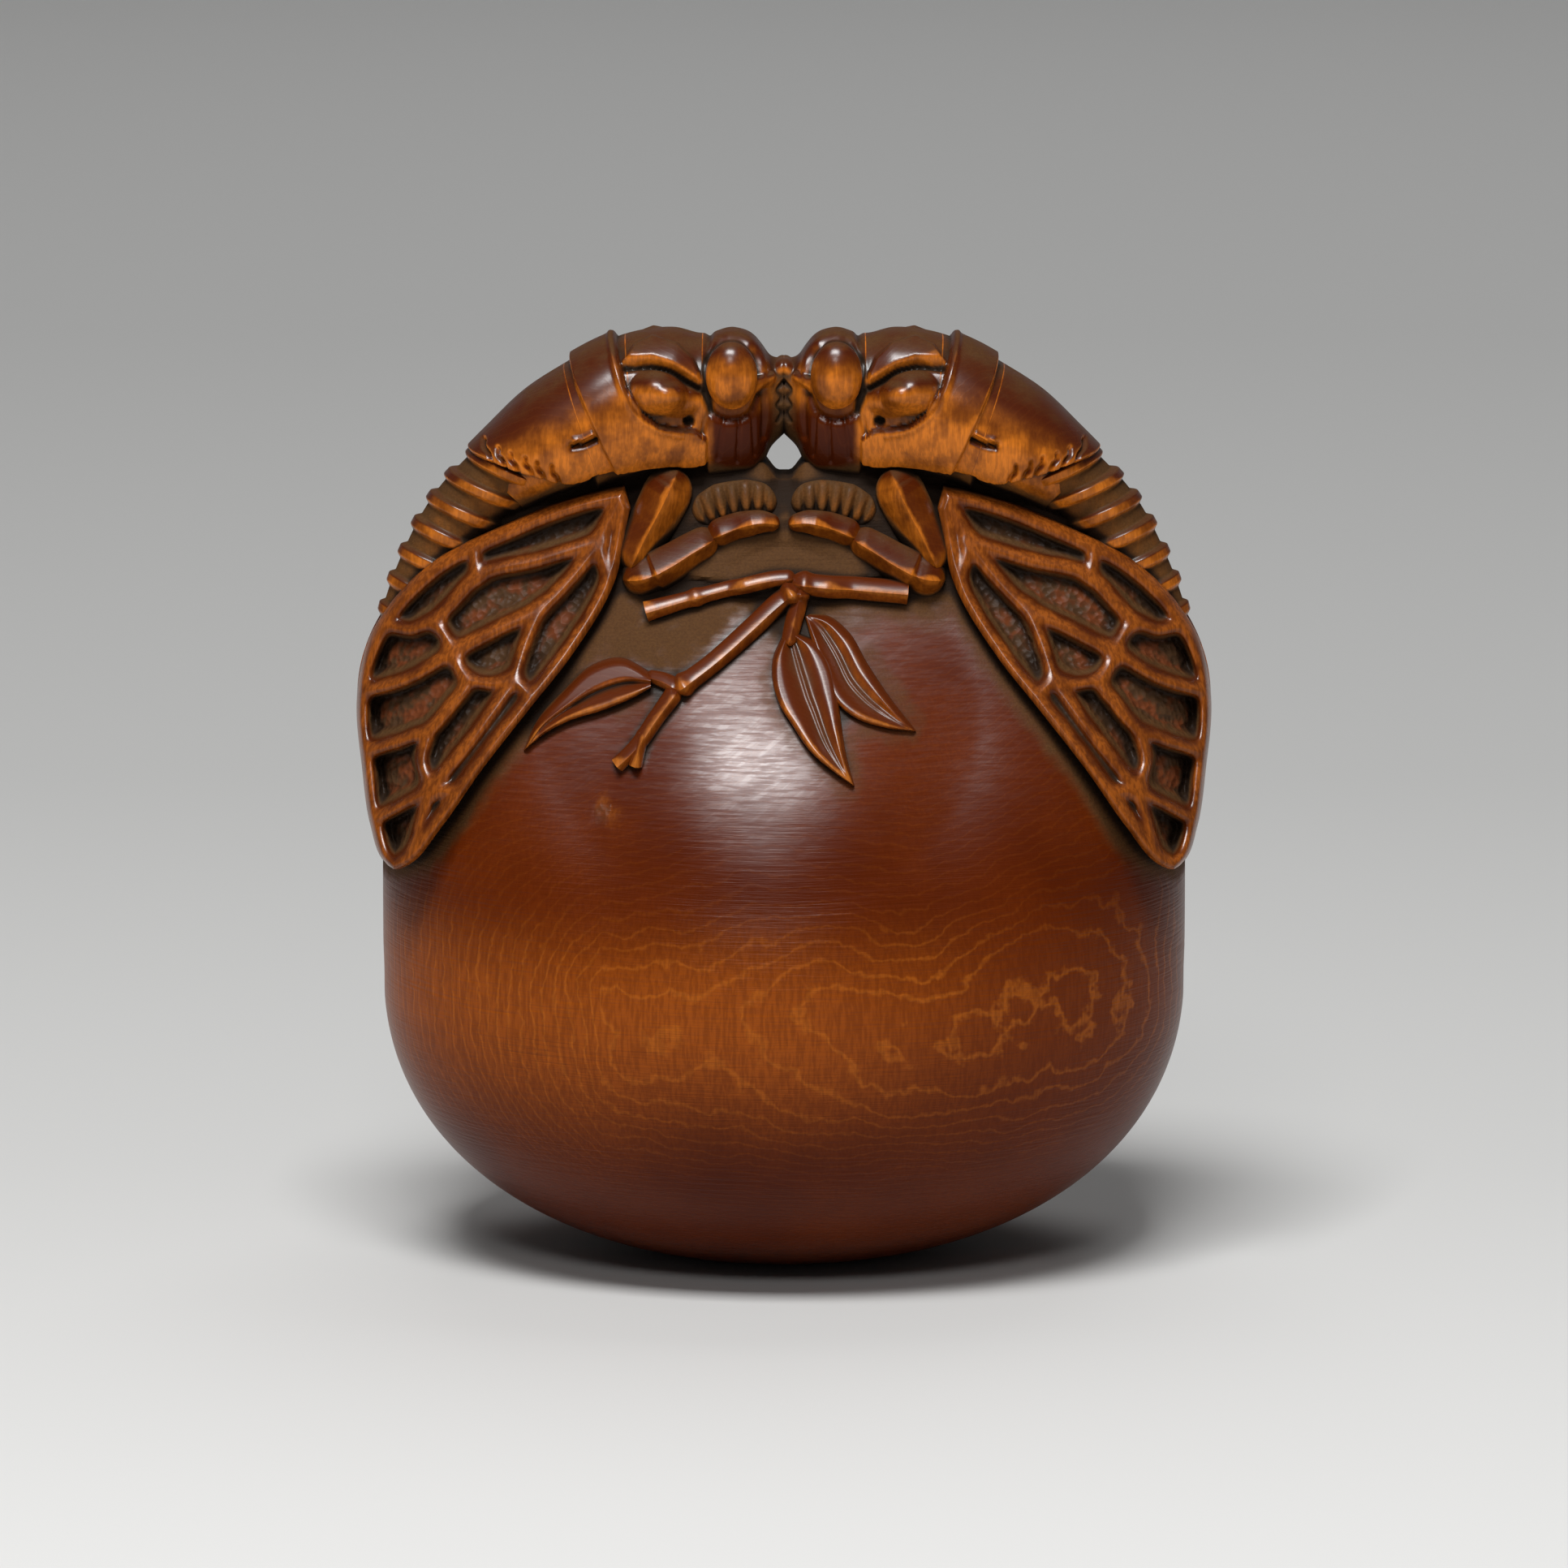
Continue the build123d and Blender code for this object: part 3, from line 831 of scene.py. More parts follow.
@dataclass(frozen=True)
class Eye:
    """A smooth bulging eye."""

    centre: tuple[float, float, float] = (2.63, -3.2, 45.4)
    radii: tuple[float, float, float] = (1.3, 1.05, 1.72)
    rows: int = 40
    columns: int = 56

    def build(self) -> list[Piece]:
        """The right front eye: a ball stretched to three radii.

        Returns:
            The one piece.
        """
        rise = np.linspace(-np.pi / 2, np.pi / 2, self.rows + 2)[1:-1, None]
        turn = np.linspace(0, 2 * np.pi, self.columns, endpoint=False)[None, :]
        flat = np.cos(rise)
        ball = np.stack((flat * np.cos(turn), flat * np.sin(turn), np.sin(rise) + 0 * turn), axis=-1)
        corners, quads, fans = sleeve(ball * self.radii + np.array(self.centre))
        return [Piece("right_front_eye", ("right_front_eye",), Slot.INSECT, corners, quads, fans)]


@dataclass(frozen=True)
class Wing:
    """A wing laid over the shoulder: raised veins round sunken, stippled cells."""

    rise_front: float = 1.3
    rise_side: float = 2.2
    half_gap: float = 0.9
    cell_depth: float = 0.75
    border: float = 0.7
    rows: int = 330
    columns: int = 120
    under: int = 10
    outer: tuple[Point, ...] = (
        (8.0, 39.8), (10.7, 39.1), (14.1, 37.7), (17.7, 35.8), (19.9, 33.6), (21.3, 31.0), (21.65, 28.6),
        (21.3, 25.6), (20.8, 22.9), (20.2, 21.5), (19.5, 21.0),
    )
    inner: tuple[Point, ...] = (
        (7.7, 38.8), (8.5, 35.2), (10.6, 31.8), (12.6, 29.4), (15.1, 26.3), (17.0, 23.6), (18.7, 21.5), (19.5, 21.0),
    )
    veins: tuple[tuple[float, tuple[Point, ...]], ...] = (
        (0.42, ((8.2, 39.4), (8.6, 38.5), (9.2, 37.2), (8.7, 35.4))),
        (0.40, ((9.2, 37.2), (12.4, 36.2), (15.4, 35.3), (16.6, 34.1), (17.6, 33.0))),
        (0.32, ((15.4, 35.3), (15.6, 36.6))),
        (0.34, ((20.2, 32.7), (18.8, 32.6), (17.6, 33.0), (16.9, 32.3), (16.6, 31.7))),
        (0.40, ((9.2, 37.2), (10.7, 35.4), (12.2, 34.0), (14.4, 32.9), (16.6, 31.7))),
        (0.32, ((12.2, 34.0), (12.9, 32.4), (13.5, 30.6))),
        (0.34, ((21.3, 29.3), (18.9, 30.3), (16.6, 31.7))),
        (0.36, ((16.6, 31.7), (16.3, 31.1), (15.9, 30.5), (16.7, 29.2), (18.0, 27.7))),
        (0.32, ((15.9, 30.5), (14.6, 30.4), (13.5, 30.6), (12.6, 29.9))),
        (0.34, ((21.0, 26.5), (19.5, 27.2), (18.0, 27.7), (18.1, 26.5), (17.6, 25.3))),
        (0.36, ((13.5, 30.6), (15.6, 27.8), (17.6, 25.3))),
        (0.30, ((17.6, 25.3), (16.0, 25.3))),
        (0.30, ((17.6, 25.3), (19.3, 24.2), (20.6, 23.3))),
        (0.30, ((17.6, 25.3), (18.1, 23.8), (18.5, 22.1))),
    )
    web: float = 0.15  # how far crossings fill in
    tip: float = 0.985  # share of the edges that the blade follows
    crowding: float = 0.16  # turn at which the columns start, closer together near the edges
    sink: float = 0.26
    crown: float = 0.3  # rounding of a vein's top
    crown_width: float = 0.46
    roll: float = 0.45  # rounding of the blade's edge
    roll_width: float = 0.4
    floor_edge: Point = (-0.1, 0.34)
    ridge_edge: Point = (0.1, -0.3)
    bed_depth: float = 0.5
    least: float = 0.05
    slope_dust: float = 3.2

    def build(self) -> list[Piece]:
        """The right front wing.

        The top blends between the hind edge and the fore edge and lies on a skin raised over the
        drum; away from the veins it sinks to the cell floors. The underside lies inside the drum.

        Returns:
            The one piece.
        """
        outer, inner = np.array(self.outer), np.array(self.inner)
        shares = np.linspace(0, self.tip, self.rows)
        fore, hind = through(outer, shares), through(inner, shares)
        across = 0.5 - 0.5 * np.cos(np.linspace(self.crowding, np.pi - self.crowding, self.columns))
        across = (across - across[0]) / (across[-1] - across[0])
        at = (hind[:, None, :] + (fore - hind)[:, None, :] * across[None, :, None]).reshape(-1, 2)
        rim = np.vstack((through(outer, np.linspace(0, 1, 120)), through(inner, np.linspace(1, 0, 120))))
        edge = stroke_gap(at, np.vstack((rim, rim[:1])))
        gaps = [edge - self.border]
        for half, points in self.veins:
            gaps.append(stroke_gap(at, through(np.array(points), np.linspace(0, 1, 24))) - half)
        gap = -self.web * np.log(np.sum(np.exp(-np.array(gaps) / self.web), axis=0))
        floor = smooth_step(*self.floor_edge, gap)
        crown = self.crown * (1 - np.clip(1 + gap / self.crown_width, 0, 1) ** 2)
        roll = self.roll * np.clip(1 - edge / self.roll_width, 0, 1) ** 2
        sink = self.cell_depth * floor + roll + self.sink - crown
        wide = FORM.half_width(at[:, 1]) + self.rise_side - sink
        deep = FORM.half_depth(at[:, 1]) + self.rise_front - sink
        bed = np.maximum(FORM.reach(at) - self.bed_depth, self.half_gap)
        top = np.maximum(arch(at[:, 0], wide, deep), bed + self.least)
        corners, quads, fans = shell(at, top, bed, self.columns, self.under)
        ridge = smooth_step(*self.ridge_edge, gap) * (1 - floor)
        cells, proud = (over_shell(values, self.columns, self.under) for values in (floor, ridge))
        masks = {"cell": cells, "proud": proud, "settle": self.slope_dust * cells * (1 - cells)}
        return [Piece("right_front_wing", ("right_front_wing",), Slot.WING, corners, quads, fans, masks)]


@dataclass(frozen=True)
class Limb:
    """A leg joint or a length of twig, carved along a line on the front of the drum."""

    name: str
    slot: Slot
    line: tuple[Point, ...]
    half_widths: tuple[float, ...]
    rise: float
    height: float
    keel: float = 0.35
    start: End = End.ROUND
    end: End = End.ROUND
    notches: float = 0.0
    knots: tuple[float, ...] = ()
    # share of painted shade over the whole limb
    shade: float = 0.0
    rows: int = 90
    columns: int = 44
    knot_swell: float = 0.2
    knot_length: float = 0.28
    notch_depth: float = 0.5
    notch_side: Point = (0.9, 0.2)  # cosines of the turn where notches start and are full
    notch_dust: float = 0.75
    end_size: float = 0.004  # of a rounded end, squared

    def build(self) -> list[Piece]:
        """The limb.

        An oval section with a keel on its outer side is swept along the line; its size follows the
        given half widths, swells at knots, dips at notches and closes at rounded ends.

        Returns:
            The one piece.
        """
        shares = np.linspace(0, 1, self.rows)
        plan = through(np.array(self.line), shares)
        length = np.linalg.norm(np.diff(plan, axis=0), axis=1).sum()
        wide = np.interp(shares, np.linspace(0, 1, len(self.half_widths)), self.half_widths)
        for knot in self.knots:
            away = (shares - knot) * length / self.knot_length
            wide = wide * (1 + self.knot_swell * np.exp(-(away**2)))
        close = np.ones_like(shares)
        if self.start is End.ROUND:
            close *= rounded(shares * length / wide[0], self.end_size)
        if self.end is End.ROUND:
            close *= rounded((1 - shares) * length / wide[-1], self.end_size)
        along = np.gradient(plan, axis=0)
        along /= np.linalg.norm(along, axis=1, keepdims=True)
        side = np.stack((-along[:, 1], along[:, 0]), axis=1)
        turn = np.linspace(0, 2 * np.pi, self.columns, endpoint=False)
        ridge = (1 - self.keel) * np.sin(turn) + self.keel * (1 - np.abs(np.cos(turn)))
        bow = np.where(np.sin(turn) > 0, ridge, np.sin(turn))
        wave = 0.5 + 0.5 * np.cos(2 * np.pi * self.notches * shares) if self.notches else 0 * shares
        upper = smooth_step(*self.notch_side, np.cos(turn))
        dip = 1 - self.notch_depth * (wave**2)[:, None] * upper[None, :]
        flat = plan[:, None, :] + side[:, None, :] * (wide * close)[:, None, None] * np.cos(turn)[None, :, None]
        ground = FORM.front(plan) + self.rise
        tall = self.height * wide / max(self.half_widths) * close
        out = ground[:, None] + tall[:, None] * bow[None, :] * dip
        corners, quads, fans = sleeve(np.stack((flat[..., 0], -out, flat[..., 1]), axis=-1))
        dusty = (self.notch_dust + (1 - self.notch_dust) * wave[:, None]) * upper[None, :] * bool(self.notches)
        masks = {"settle": np.append(dusty, (0.0, 0.0)), "shade": np.full(len(corners), self.shade)}
        return [Piece(self.name, (self.name,), self.slot, corners, quads, fans, masks)]


@dataclass(frozen=True)
class Leaf:
    """A leaf with a raised rim and a hollow along its midrib."""

    name: str
    near: tuple[Point, ...]
    far: tuple[Point, ...]
    rim: float = 0.75
    hollow: float = 0.5
    one_sided: bool = False  # hollow on the near half only
    rows: int = 90
    columns: int = 48
    under: int = 6
    ends: Point = (0.004, 0.992)  # shares of the edges that the blade follows
    edge_round: float = 0.35
    trough_edge: Point = (0.35, 0.95)
    near_half: Point = (0.62, 0.42)
    narrow: float = 0.8  # half widths below this have a shallower trough
    least_half: float = 0.2
    rib_height: float = 0.14
    rib_width: float = 0.12
    seat: float = 0.12  # how far the edges go into the ground
    bed_depth: float = 0.45
    hollow_dust: float = 0.5

    def build(self) -> list[Piece]:
        """The leaf.

        The blade blends between its two edges and lies on the drum; its height is a rounded rim
        near each edge and a trough between them, with a thin midrib.

        Returns:
            The one piece.
        """
        shares = np.linspace(*self.ends, self.rows)
        one, two = through(np.array(self.near), shares), through(np.array(self.far), shares)
        across = np.linspace(0, 1, self.columns)
        at = (one[:, None, :] + (two - one)[:, None, :] * across[None, :, None]).reshape(-1, 2)
        half = np.linalg.norm(two - one, axis=1)[:, None] / 2
        inset = (half * (1 - np.abs(2 * across - 1))[None, :]).ravel()
        spread = np.repeat(half, self.columns, axis=1).ravel()
        fade = np.clip(spread / self.narrow, 0, 1)
        trough = smooth_step(*self.trough_edge, inset / np.maximum(spread, self.least_half)) * fade
        if self.one_sided:
            trough = trough * np.tile(smooth_step(*self.near_half, across), self.rows)
        rib = self.rib_height * np.exp(-(((spread - inset) / self.rib_width) ** 2)) * fade
        ground = FORM.front(at)
        edge = (self.rim + self.seat) * rounded(inset / self.edge_round)
        top = ground - self.seat + edge - self.hollow * trough + rib
        corners, quads, fans = shell(at, top, ground - self.bed_depth, self.columns, self.under)
        masks = {"settle": self.hollow_dust * over_shell(trough, self.columns, self.under)}
        return [Piece(self.name, (self.name,), Slot.SPRIG, corners, quads, fans, masks)]


def gathered(parts: tuple[Limb | Leaf, ...]) -> list[Piece]:
    """Builds parts, and joins those of one name into one piece.

    Args:
        parts: limbs and leaves.

    Returns:
        One piece for each name.
    """
    made: dict[str, Piece] = {}
    for part in parts:
        for piece in part.build():
            made[piece.name] = made[piece.name].joined(piece) if piece.name in made else piece
    return list(made.values())


@dataclass(frozen=True)
class Cicada:
    """One cicada: head, trunk, abdomen, eyes, wings and fore legs, carved on both faces of the drum."""

    trunk: Trunk = Trunk()
    abdomen: Abdomen = Abdomen()
    eye: Eye = Eye()
    wing: Wing = Wing()
    legs: tuple[Limb, ...] = (
        Limb(
            "right_front_femur", Slot.INSECT, ((5.3, 40.7), (5.8, 39.6), (6.4, 38.4), (7.1, 37.1), (7.75, 35.7)),
            (1.05, 1.25, 1.2, 1.1, 0.98), 0.35, 1.45, 0.75, shade=0.4,
        ),
        Limb(
            "right_front_tibia", Slot.INSECT, ((8.1, 35.3), (6.9, 35.5), (5.7, 36.05), (4.5, 36.75), (3.3, 37.4)),
            (1.1, 1.12, 1.02, 0.92, 0.82), 0.28, 1.3, 0.7, shade=0.6,
        ),
        Limb(
            "right_front_foot", Slot.INSECT, ((4.6, 38.3), (3.2, 38.8), (1.9, 39.0), (0.35, 38.95)),
            (0.7, 1.15, 1.15, 0.85), -0.12, 0.68, 0.1, End.ROUND, End.ROUND, 7.0,
        ),
        Limb(
            "right_front_foot", Slot.INSECT, ((3.8, 37.25), (2.9, 37.65), (2.1, 37.95), (1.2, 38.15), (0.2, 38.05)),
            (0.8, 0.76, 0.7, 0.58, 0.36), 0.28, 0.9, 0.6, shade=0.75,
        ),
    )

    def build(self) -> list[Piece]:
        """Both cicadas: the right front is copied to the back, and all of it to the left.

        Returns:
            Every piece of the two.
        """
        middle = self.trunk.build() + self.abdomen.build()
        front = self.eye.build() + self.wing.build() + gathered(self.legs)
        back = [piece.mirrored(piece.name.replace("front", "back"), 1) for piece in front]
        right = middle + front + back
        return right + [piece.mirrored(piece.name.replace("right", "left"), 0) for piece in right]


@dataclass(frozen=True)
class Sprig:
    """The leafy twig across the front."""

    twigs: tuple[Limb, ...] = (
        Limb(
            "right_twig", Slot.SPRIG, ((0.3, 35.3), (2.0, 35.1), (4.0, 34.9), (6.2, 34.7)),
            (0.55, 0.58, 0.6, 0.62), 0.3, 0.8, 0.4, End.ROUND, End.CUT, 0.0, (0.12,),
        ),
        Limb(
            "main_twig", Slot.SPRIG, ((0.9, 35.1), (-0.4, 34.15), (-1.6, 33.15), (-3.4, 31.7), (-5.4, 30.3)),
            (0.62, 0.56, 0.54, 0.52, 0.56), 0.2, 0.9, 0.4, End.ROUND, End.ROUND, 0.0, (0.08, 0.93),
        ),
        Limb(
            "left_twig", Slot.SPRIG, ((0.6, 35.5), (-0.4, 35.45), (-2.4, 35.05), (-4.6, 34.5), (-6.9, 33.85)),
            (0.45, 0.42, 0.4, 0.42, 0.52), 0.4, 0.62, 0.35, End.ROUND, End.CUT, 0.0, (0.66,),
        ),
        Limb(
            "lower_twig", Slot.SPRIG, ((-5.2, 30.5), (-6.3, 29.1), (-7.3, 27.75), (-8.25, 26.85)),
            (0.52, 0.44, 0.42, 0.4), 0.15, 0.85, 0.4, End.ROUND, End.CUT,
        ),
        Limb(
            "lower_twig", Slot.SPRIG, ((-6.8, 28.6), (-7.2, 27.7), (-7.35, 26.9)),
            (0.4, 0.38, 0.34), 0.15, 0.78, 0.4, End.ROUND, End.CUT,
        ),
        Limb(
            "front_leaf_stalk", Slot.SPRIG, ((0.9, 35.2), (0.6, 33.9), (0.2, 32.4)),
            (0.55, 0.46, 0.4), 0.25, 0.85, 0.4,
        ),
        Limb(
            "left_leaf_stalk", Slot.SPRIG, ((-5.2, 30.4), (-6.0, 30.75), (-6.9, 30.95)),
            (0.5, 0.42, 0.32), 0.15, 0.75, 0.4,
        ),
    )
    leaves: tuple[Leaf, ...] = (
        Leaf(
            "front_leaf",
            (
                (0.0, 33.0), (-0.6, 31.7), (-0.6, 30.8), (-0.2, 29.7), (0.3, 29.0), (1.3, 27.7), (2.3, 26.9),
                (3.5, 26.1),
            ),
            ((0.6, 33.0), (1.7, 32.5), (2.4, 31.5), (2.65, 30.5), (2.85, 29.0), (3.1, 27.5), (3.5, 26.1)),
        ),
        Leaf(
            "rear_leaf",
            ((1.0, 33.7), (1.4, 32.4), (1.9, 31.1), (2.5, 29.9), (3.4, 29.2), (4.8, 28.7), (6.6, 28.4)),
            ((1.3, 33.8), (2.2, 33.7), (3.2, 33.0), (4.2, 31.5), (5.2, 30.1), (6.6, 28.4)),
            0.6,
        ),
        Leaf(
            "left_leaf",
            ((-6.6, 30.4), (-7.5, 29.9), (-8.9, 29.3), (-10.7, 28.7), (-11.7, 28.2), (-13.0, 27.2)),
            ((-6.6, 31.1), (-8.2, 31.7), (-9.6, 31.3), (-11.0, 30.1), (-12.3, 28.7), (-13.0, 27.2)),
            one_sided=True,
        ),
    )

    def build(self) -> list[Piece]:
        """Every twig, stalk and leaf."""
        return gathered(self.twigs + self.leaves)


@dataclass(frozen=True)
class Patina:
    """Where hands polish the wood, where dust and dark wax settle, and where shade is painted into the deepest creases,
    judged from the shape itself.
    """

    cell: float = 0.2
    fine: int = 2
    broad: int = 6
    margin: float = 1.6
    wear_band: Point = (0.47, 0.3)  # shares of wood nearby where each mask starts and is full
    wax_and_shade_band: Point = (0.57, 0.82)
    dust_band: Point = (0.53, 0.72)
    under_band: Point = (0.6, -0.15)  # how far the surface faces up
    top_band: Point = (0.35, 0.95)

    def blur(self, solid: Array, reach: int) -> Array:
        """Twice-averaged copy of a block of cells.

        Args:
            solid: share of wood in each cell.
            reach: cells to each side that are averaged.

        Returns:
            The averaged block.
        """
        for axis in (0, 1, 2, 0, 1, 2):
            total = np.cumsum(solid, axis=axis, dtype=np.float64)
            size = total.shape[axis]
            high = np.take(total, np.minimum(np.arange(size) + reach, size - 1), axis=axis)
            low = np.take(total, np.maximum(np.arange(size) - reach - 1, 0), axis=axis)
            solid = ((high - low) / (2 * reach + 1)).astype(np.float32)
        return solid

    def dress(self, pieces: list[Piece], cloud: Array) -> None:
        """Gives every piece its masks: wear, dust, and dark wax with painted shade in the deepest creases.

        The whole carving is cut into small cells, each filled between the foremost and the rearmost
        wood in its column. The share of wood near a place is low on edges and high in hollows.

        Args:
            pieces: all the pieces, changed in place.
            cloud: extra points on the drum's outside.
        """
        points = np.vstack([piece.corners for piece in pieces] + [cloud])
        low = points.min(axis=0) - self.margin
        shape = np.ceil((points.max(axis=0) + self.margin - low) / self.cell).astype(int)
        column = ((points[:, [0, 2]] - low[[0, 2]]) / self.cell).astype(int)
        flat = column[:, 0] * shape[2] + column[:, 1]
        front = np.full(shape[0] * shape[2], np.inf)
        back = np.full(shape[0] * shape[2], -np.inf)
        np.minimum.at(front, flat, points[:, 1])
        np.maximum.at(back, flat, points[:, 1])
        depth = (low[1] + (np.arange(shape[1]) + 0.5) * self.cell)[None, :, None]
        front, back = (side.reshape(shape[0], 1, shape[2]) for side in (front, back))
        behind = np.clip((depth - front) / self.cell + 0.5, 0, 1)
        solid = (behind * np.clip((back - depth) / self.cell + 0.5, 0, 1)).astype(np.float32)
        near, wide = self.blur(solid, self.fine), self.blur(solid, self.broad)
        for piece in pieces:
            place = (piece.corners - low) / self.cell - 0.5
            edge, shelter = self.read(near, place), self.read(wide, place)
            facing = piece.upward()
            piece.masks["wear"] = smooth_step(*self.wear_band, edge)
            # dark wax in the deepest creases, which also paints the shade there
            piece.masks["wax_and_shade"] = smooth_step(*self.wax_and_shade_band, edge)
            piece.masks["dust"] = smooth_step(*self.dust_band, shelter)
            piece.masks["under"] = smooth_step(*self.under_band, facing)
            piece.masks["top"] = smooth_step(*self.top_band, facing)
            for name in ("settle", "cell", "proud", "shade"):
                piece.masks.setdefault(name, np.zeros(len(piece.corners)))

    def read(self, block: Array, place: Array) -> Array:
        """Value of a block between its cells, by straight blends along the three axes.

        Args:
            block: the averaged cells.
            place: places in cell units, one a row.

        Returns:
            One value for each place.
        """
        base = np.clip(np.floor(place).astype(int), 0, np.array(block.shape) - 2)
        share = np.clip(place - base, 0, 1)
        value = np.zeros(len(place))
        for corner in np.ndindex(2, 2, 2):
            weight = np.prod(np.where(np.array(corner), share, 1 - share), axis=1)
            i, j, k = (base + np.array(corner)).T
            value += weight * block[i, j, k]
        return value


class Bench:
    """A node tree with short ways to add and join nodes."""

    def __init__(self, tree: bpy.types.NodeTree) -> None:
        """Takes the tree to work on."""
        self.tree = tree

    def node(self, kind: str, **settings: object) -> bpy.types.Node:
        """Adds a node.

        Args:
            kind: type name of the node.
            settings: properties to set on it.

        Returns:
            The node.
        """
        made = self.tree.nodes.new(kind)
        for name, value in settings.items():
            setattr(made, name, value)
        return made

    def feed(self, target: Socket, source: Source) -> None:
        """Links a socket, or sets its value where the source is a number or a colour.

        Args:
            target: the input socket.
            source: an output socket, a number or a colour.
        """
        if isinstance(source, bpy.types.NodeSocket):
            self.tree.links.new(source, target)
        elif isinstance(source, tuple) and target.type == "RGBA":
            target.default_value = (*source, 1.0)
        else:
            target.default_value = source

    def group(self, tree: bpy.types.NodeTree, **sources: Source) -> bpy.types.Node:
        """Places a shared group and feeds its sockets.

        Args:
            tree: the group.
            sources: sockets, numbers or colours by the name of the input.

        Returns:
            The node.
        """
        made = self.node("ShaderNodeGroup", node_tree=tree)
        for label, source in sources.items():
            self.feed(made.inputs[label], source)
        return made

    def math(self, operation: str, first: Source, second: Source, clamp: bool = False) -> Socket:
        """One step of arithmetic.

        Args:
            operation: name of the operation.
            first: first number.
            second: second number.
            clamp: whether the result stays between 0 and 1.

        Returns:
            The result.
        """
        made = self.node("ShaderNodeMath", operation=operation, use_clamp=clamp)
        self.feed(made.inputs[0], first)
        self.feed(made.inputs[1], second)
        return made.outputs[0]

    def times(self, first: Source, second: Source) -> Socket:
        """Product of two numbers."""
        return self.math("MULTIPLY", first, second)

    def plus(self, first: Source, second: Source) -> Socket:
        """Sum of two numbers."""
        return self.math("ADD", first, second)

    def most(self, first: Source, second: Source) -> Socket:
        """The larger of two numbers."""
        return self.math("MAXIMUM", first, second)

    def rest(self, share: Source) -> Socket:
        """What a share leaves of 1."""
        return self.math("SUBTRACT", 1.0, share)

    def ramp(self, value: Socket, low: float, high: float, soft: bool = True) -> Socket:
        """Ramp of a value from 0 at low to 1 at high.

        Args:
            value: the value.
            low: where the ramp starts.
            high: where it ends.
            soft: whether it starts and ends gently.

        Returns:
            The share.
        """
        made = self.node("ShaderNodeMapRange", interpolation_type="SMOOTHSTEP" if soft else "LINEAR")
        for socket, source in zip(made.inputs[:3], (value, low, high)):
            self.feed(socket, source)
        return made.outputs[0]

    def mix(self, share: Source, first: Source, second: Source) -> Socket:
        """Blend of two colours.

        Args:
            share: how much of the second.
            first: first colour.
            second: second colour.

        Returns:
            The blended colour.
        """
        made = self.node("ShaderNodeMix", data_type="RGBA")
        self.feed(made.inputs[0], share)
        self.feed(made.inputs[6], first)
        self.feed(made.inputs[7], second)
        return made.outputs[2]

    def axis(self, place: Socket, number: int) -> Socket:
        """One coordinate of a place.

        Args:
            place: the place.
            number: 0 across, 1 back, 2 up.

        Returns:
            The coordinate.
        """
        made = self.node("ShaderNodeSeparateXYZ")
        self.feed(made.inputs[0], place)
        return made.outputs[number]

    def stretch(self, place: Socket, factors: Colour) -> Socket:
        """A place, multiplied along the three axes.

        Args:
            place: the place.
            factors: one factor for each axis.

        Returns:
            The stretched place.
        """
        made = self.node("ShaderNodeVectorMath", operation="MULTIPLY")
        self.feed(made.inputs[0], place)
        made.inputs[1].default_value = factors
        return made.outputs[0]

    def noise(self, place: Socket, scale: float, detail: float = 3.0, rough: float = 0.55) -> Socket:
        """Cloudy noise, 0 to 1.

        Args:
            place: where to read it.
            scale: clouds a millimetre.
            detail: how many finer layers.
            rough: strength of the finer layers.

        Returns:
            The noise.
        """
        made = self.node("ShaderNodeTexNoise")
        self.feed(made.inputs["Vector"], place)
        made.inputs["Scale"].default_value = scale
        made.inputs["Detail"].default_value = detail
        made.inputs["Roughness"].default_value = rough
        return made.outputs[0]

    def ripple(self, place: Socket, scale: float, detail: float = 3.0, rough: float = 0.55) -> Socket:
        """Cloudy noise about 0, from -0.5 to 0.5."""
        return self.plus(self.noise(place, scale, detail, rough), -0.5)

    def mask(self, name: str) -> Socket:
        """One of the masks that a piece carries."""
        return self.node("ShaderNodeAttribute", attribute_name=name).outputs["Fac"]


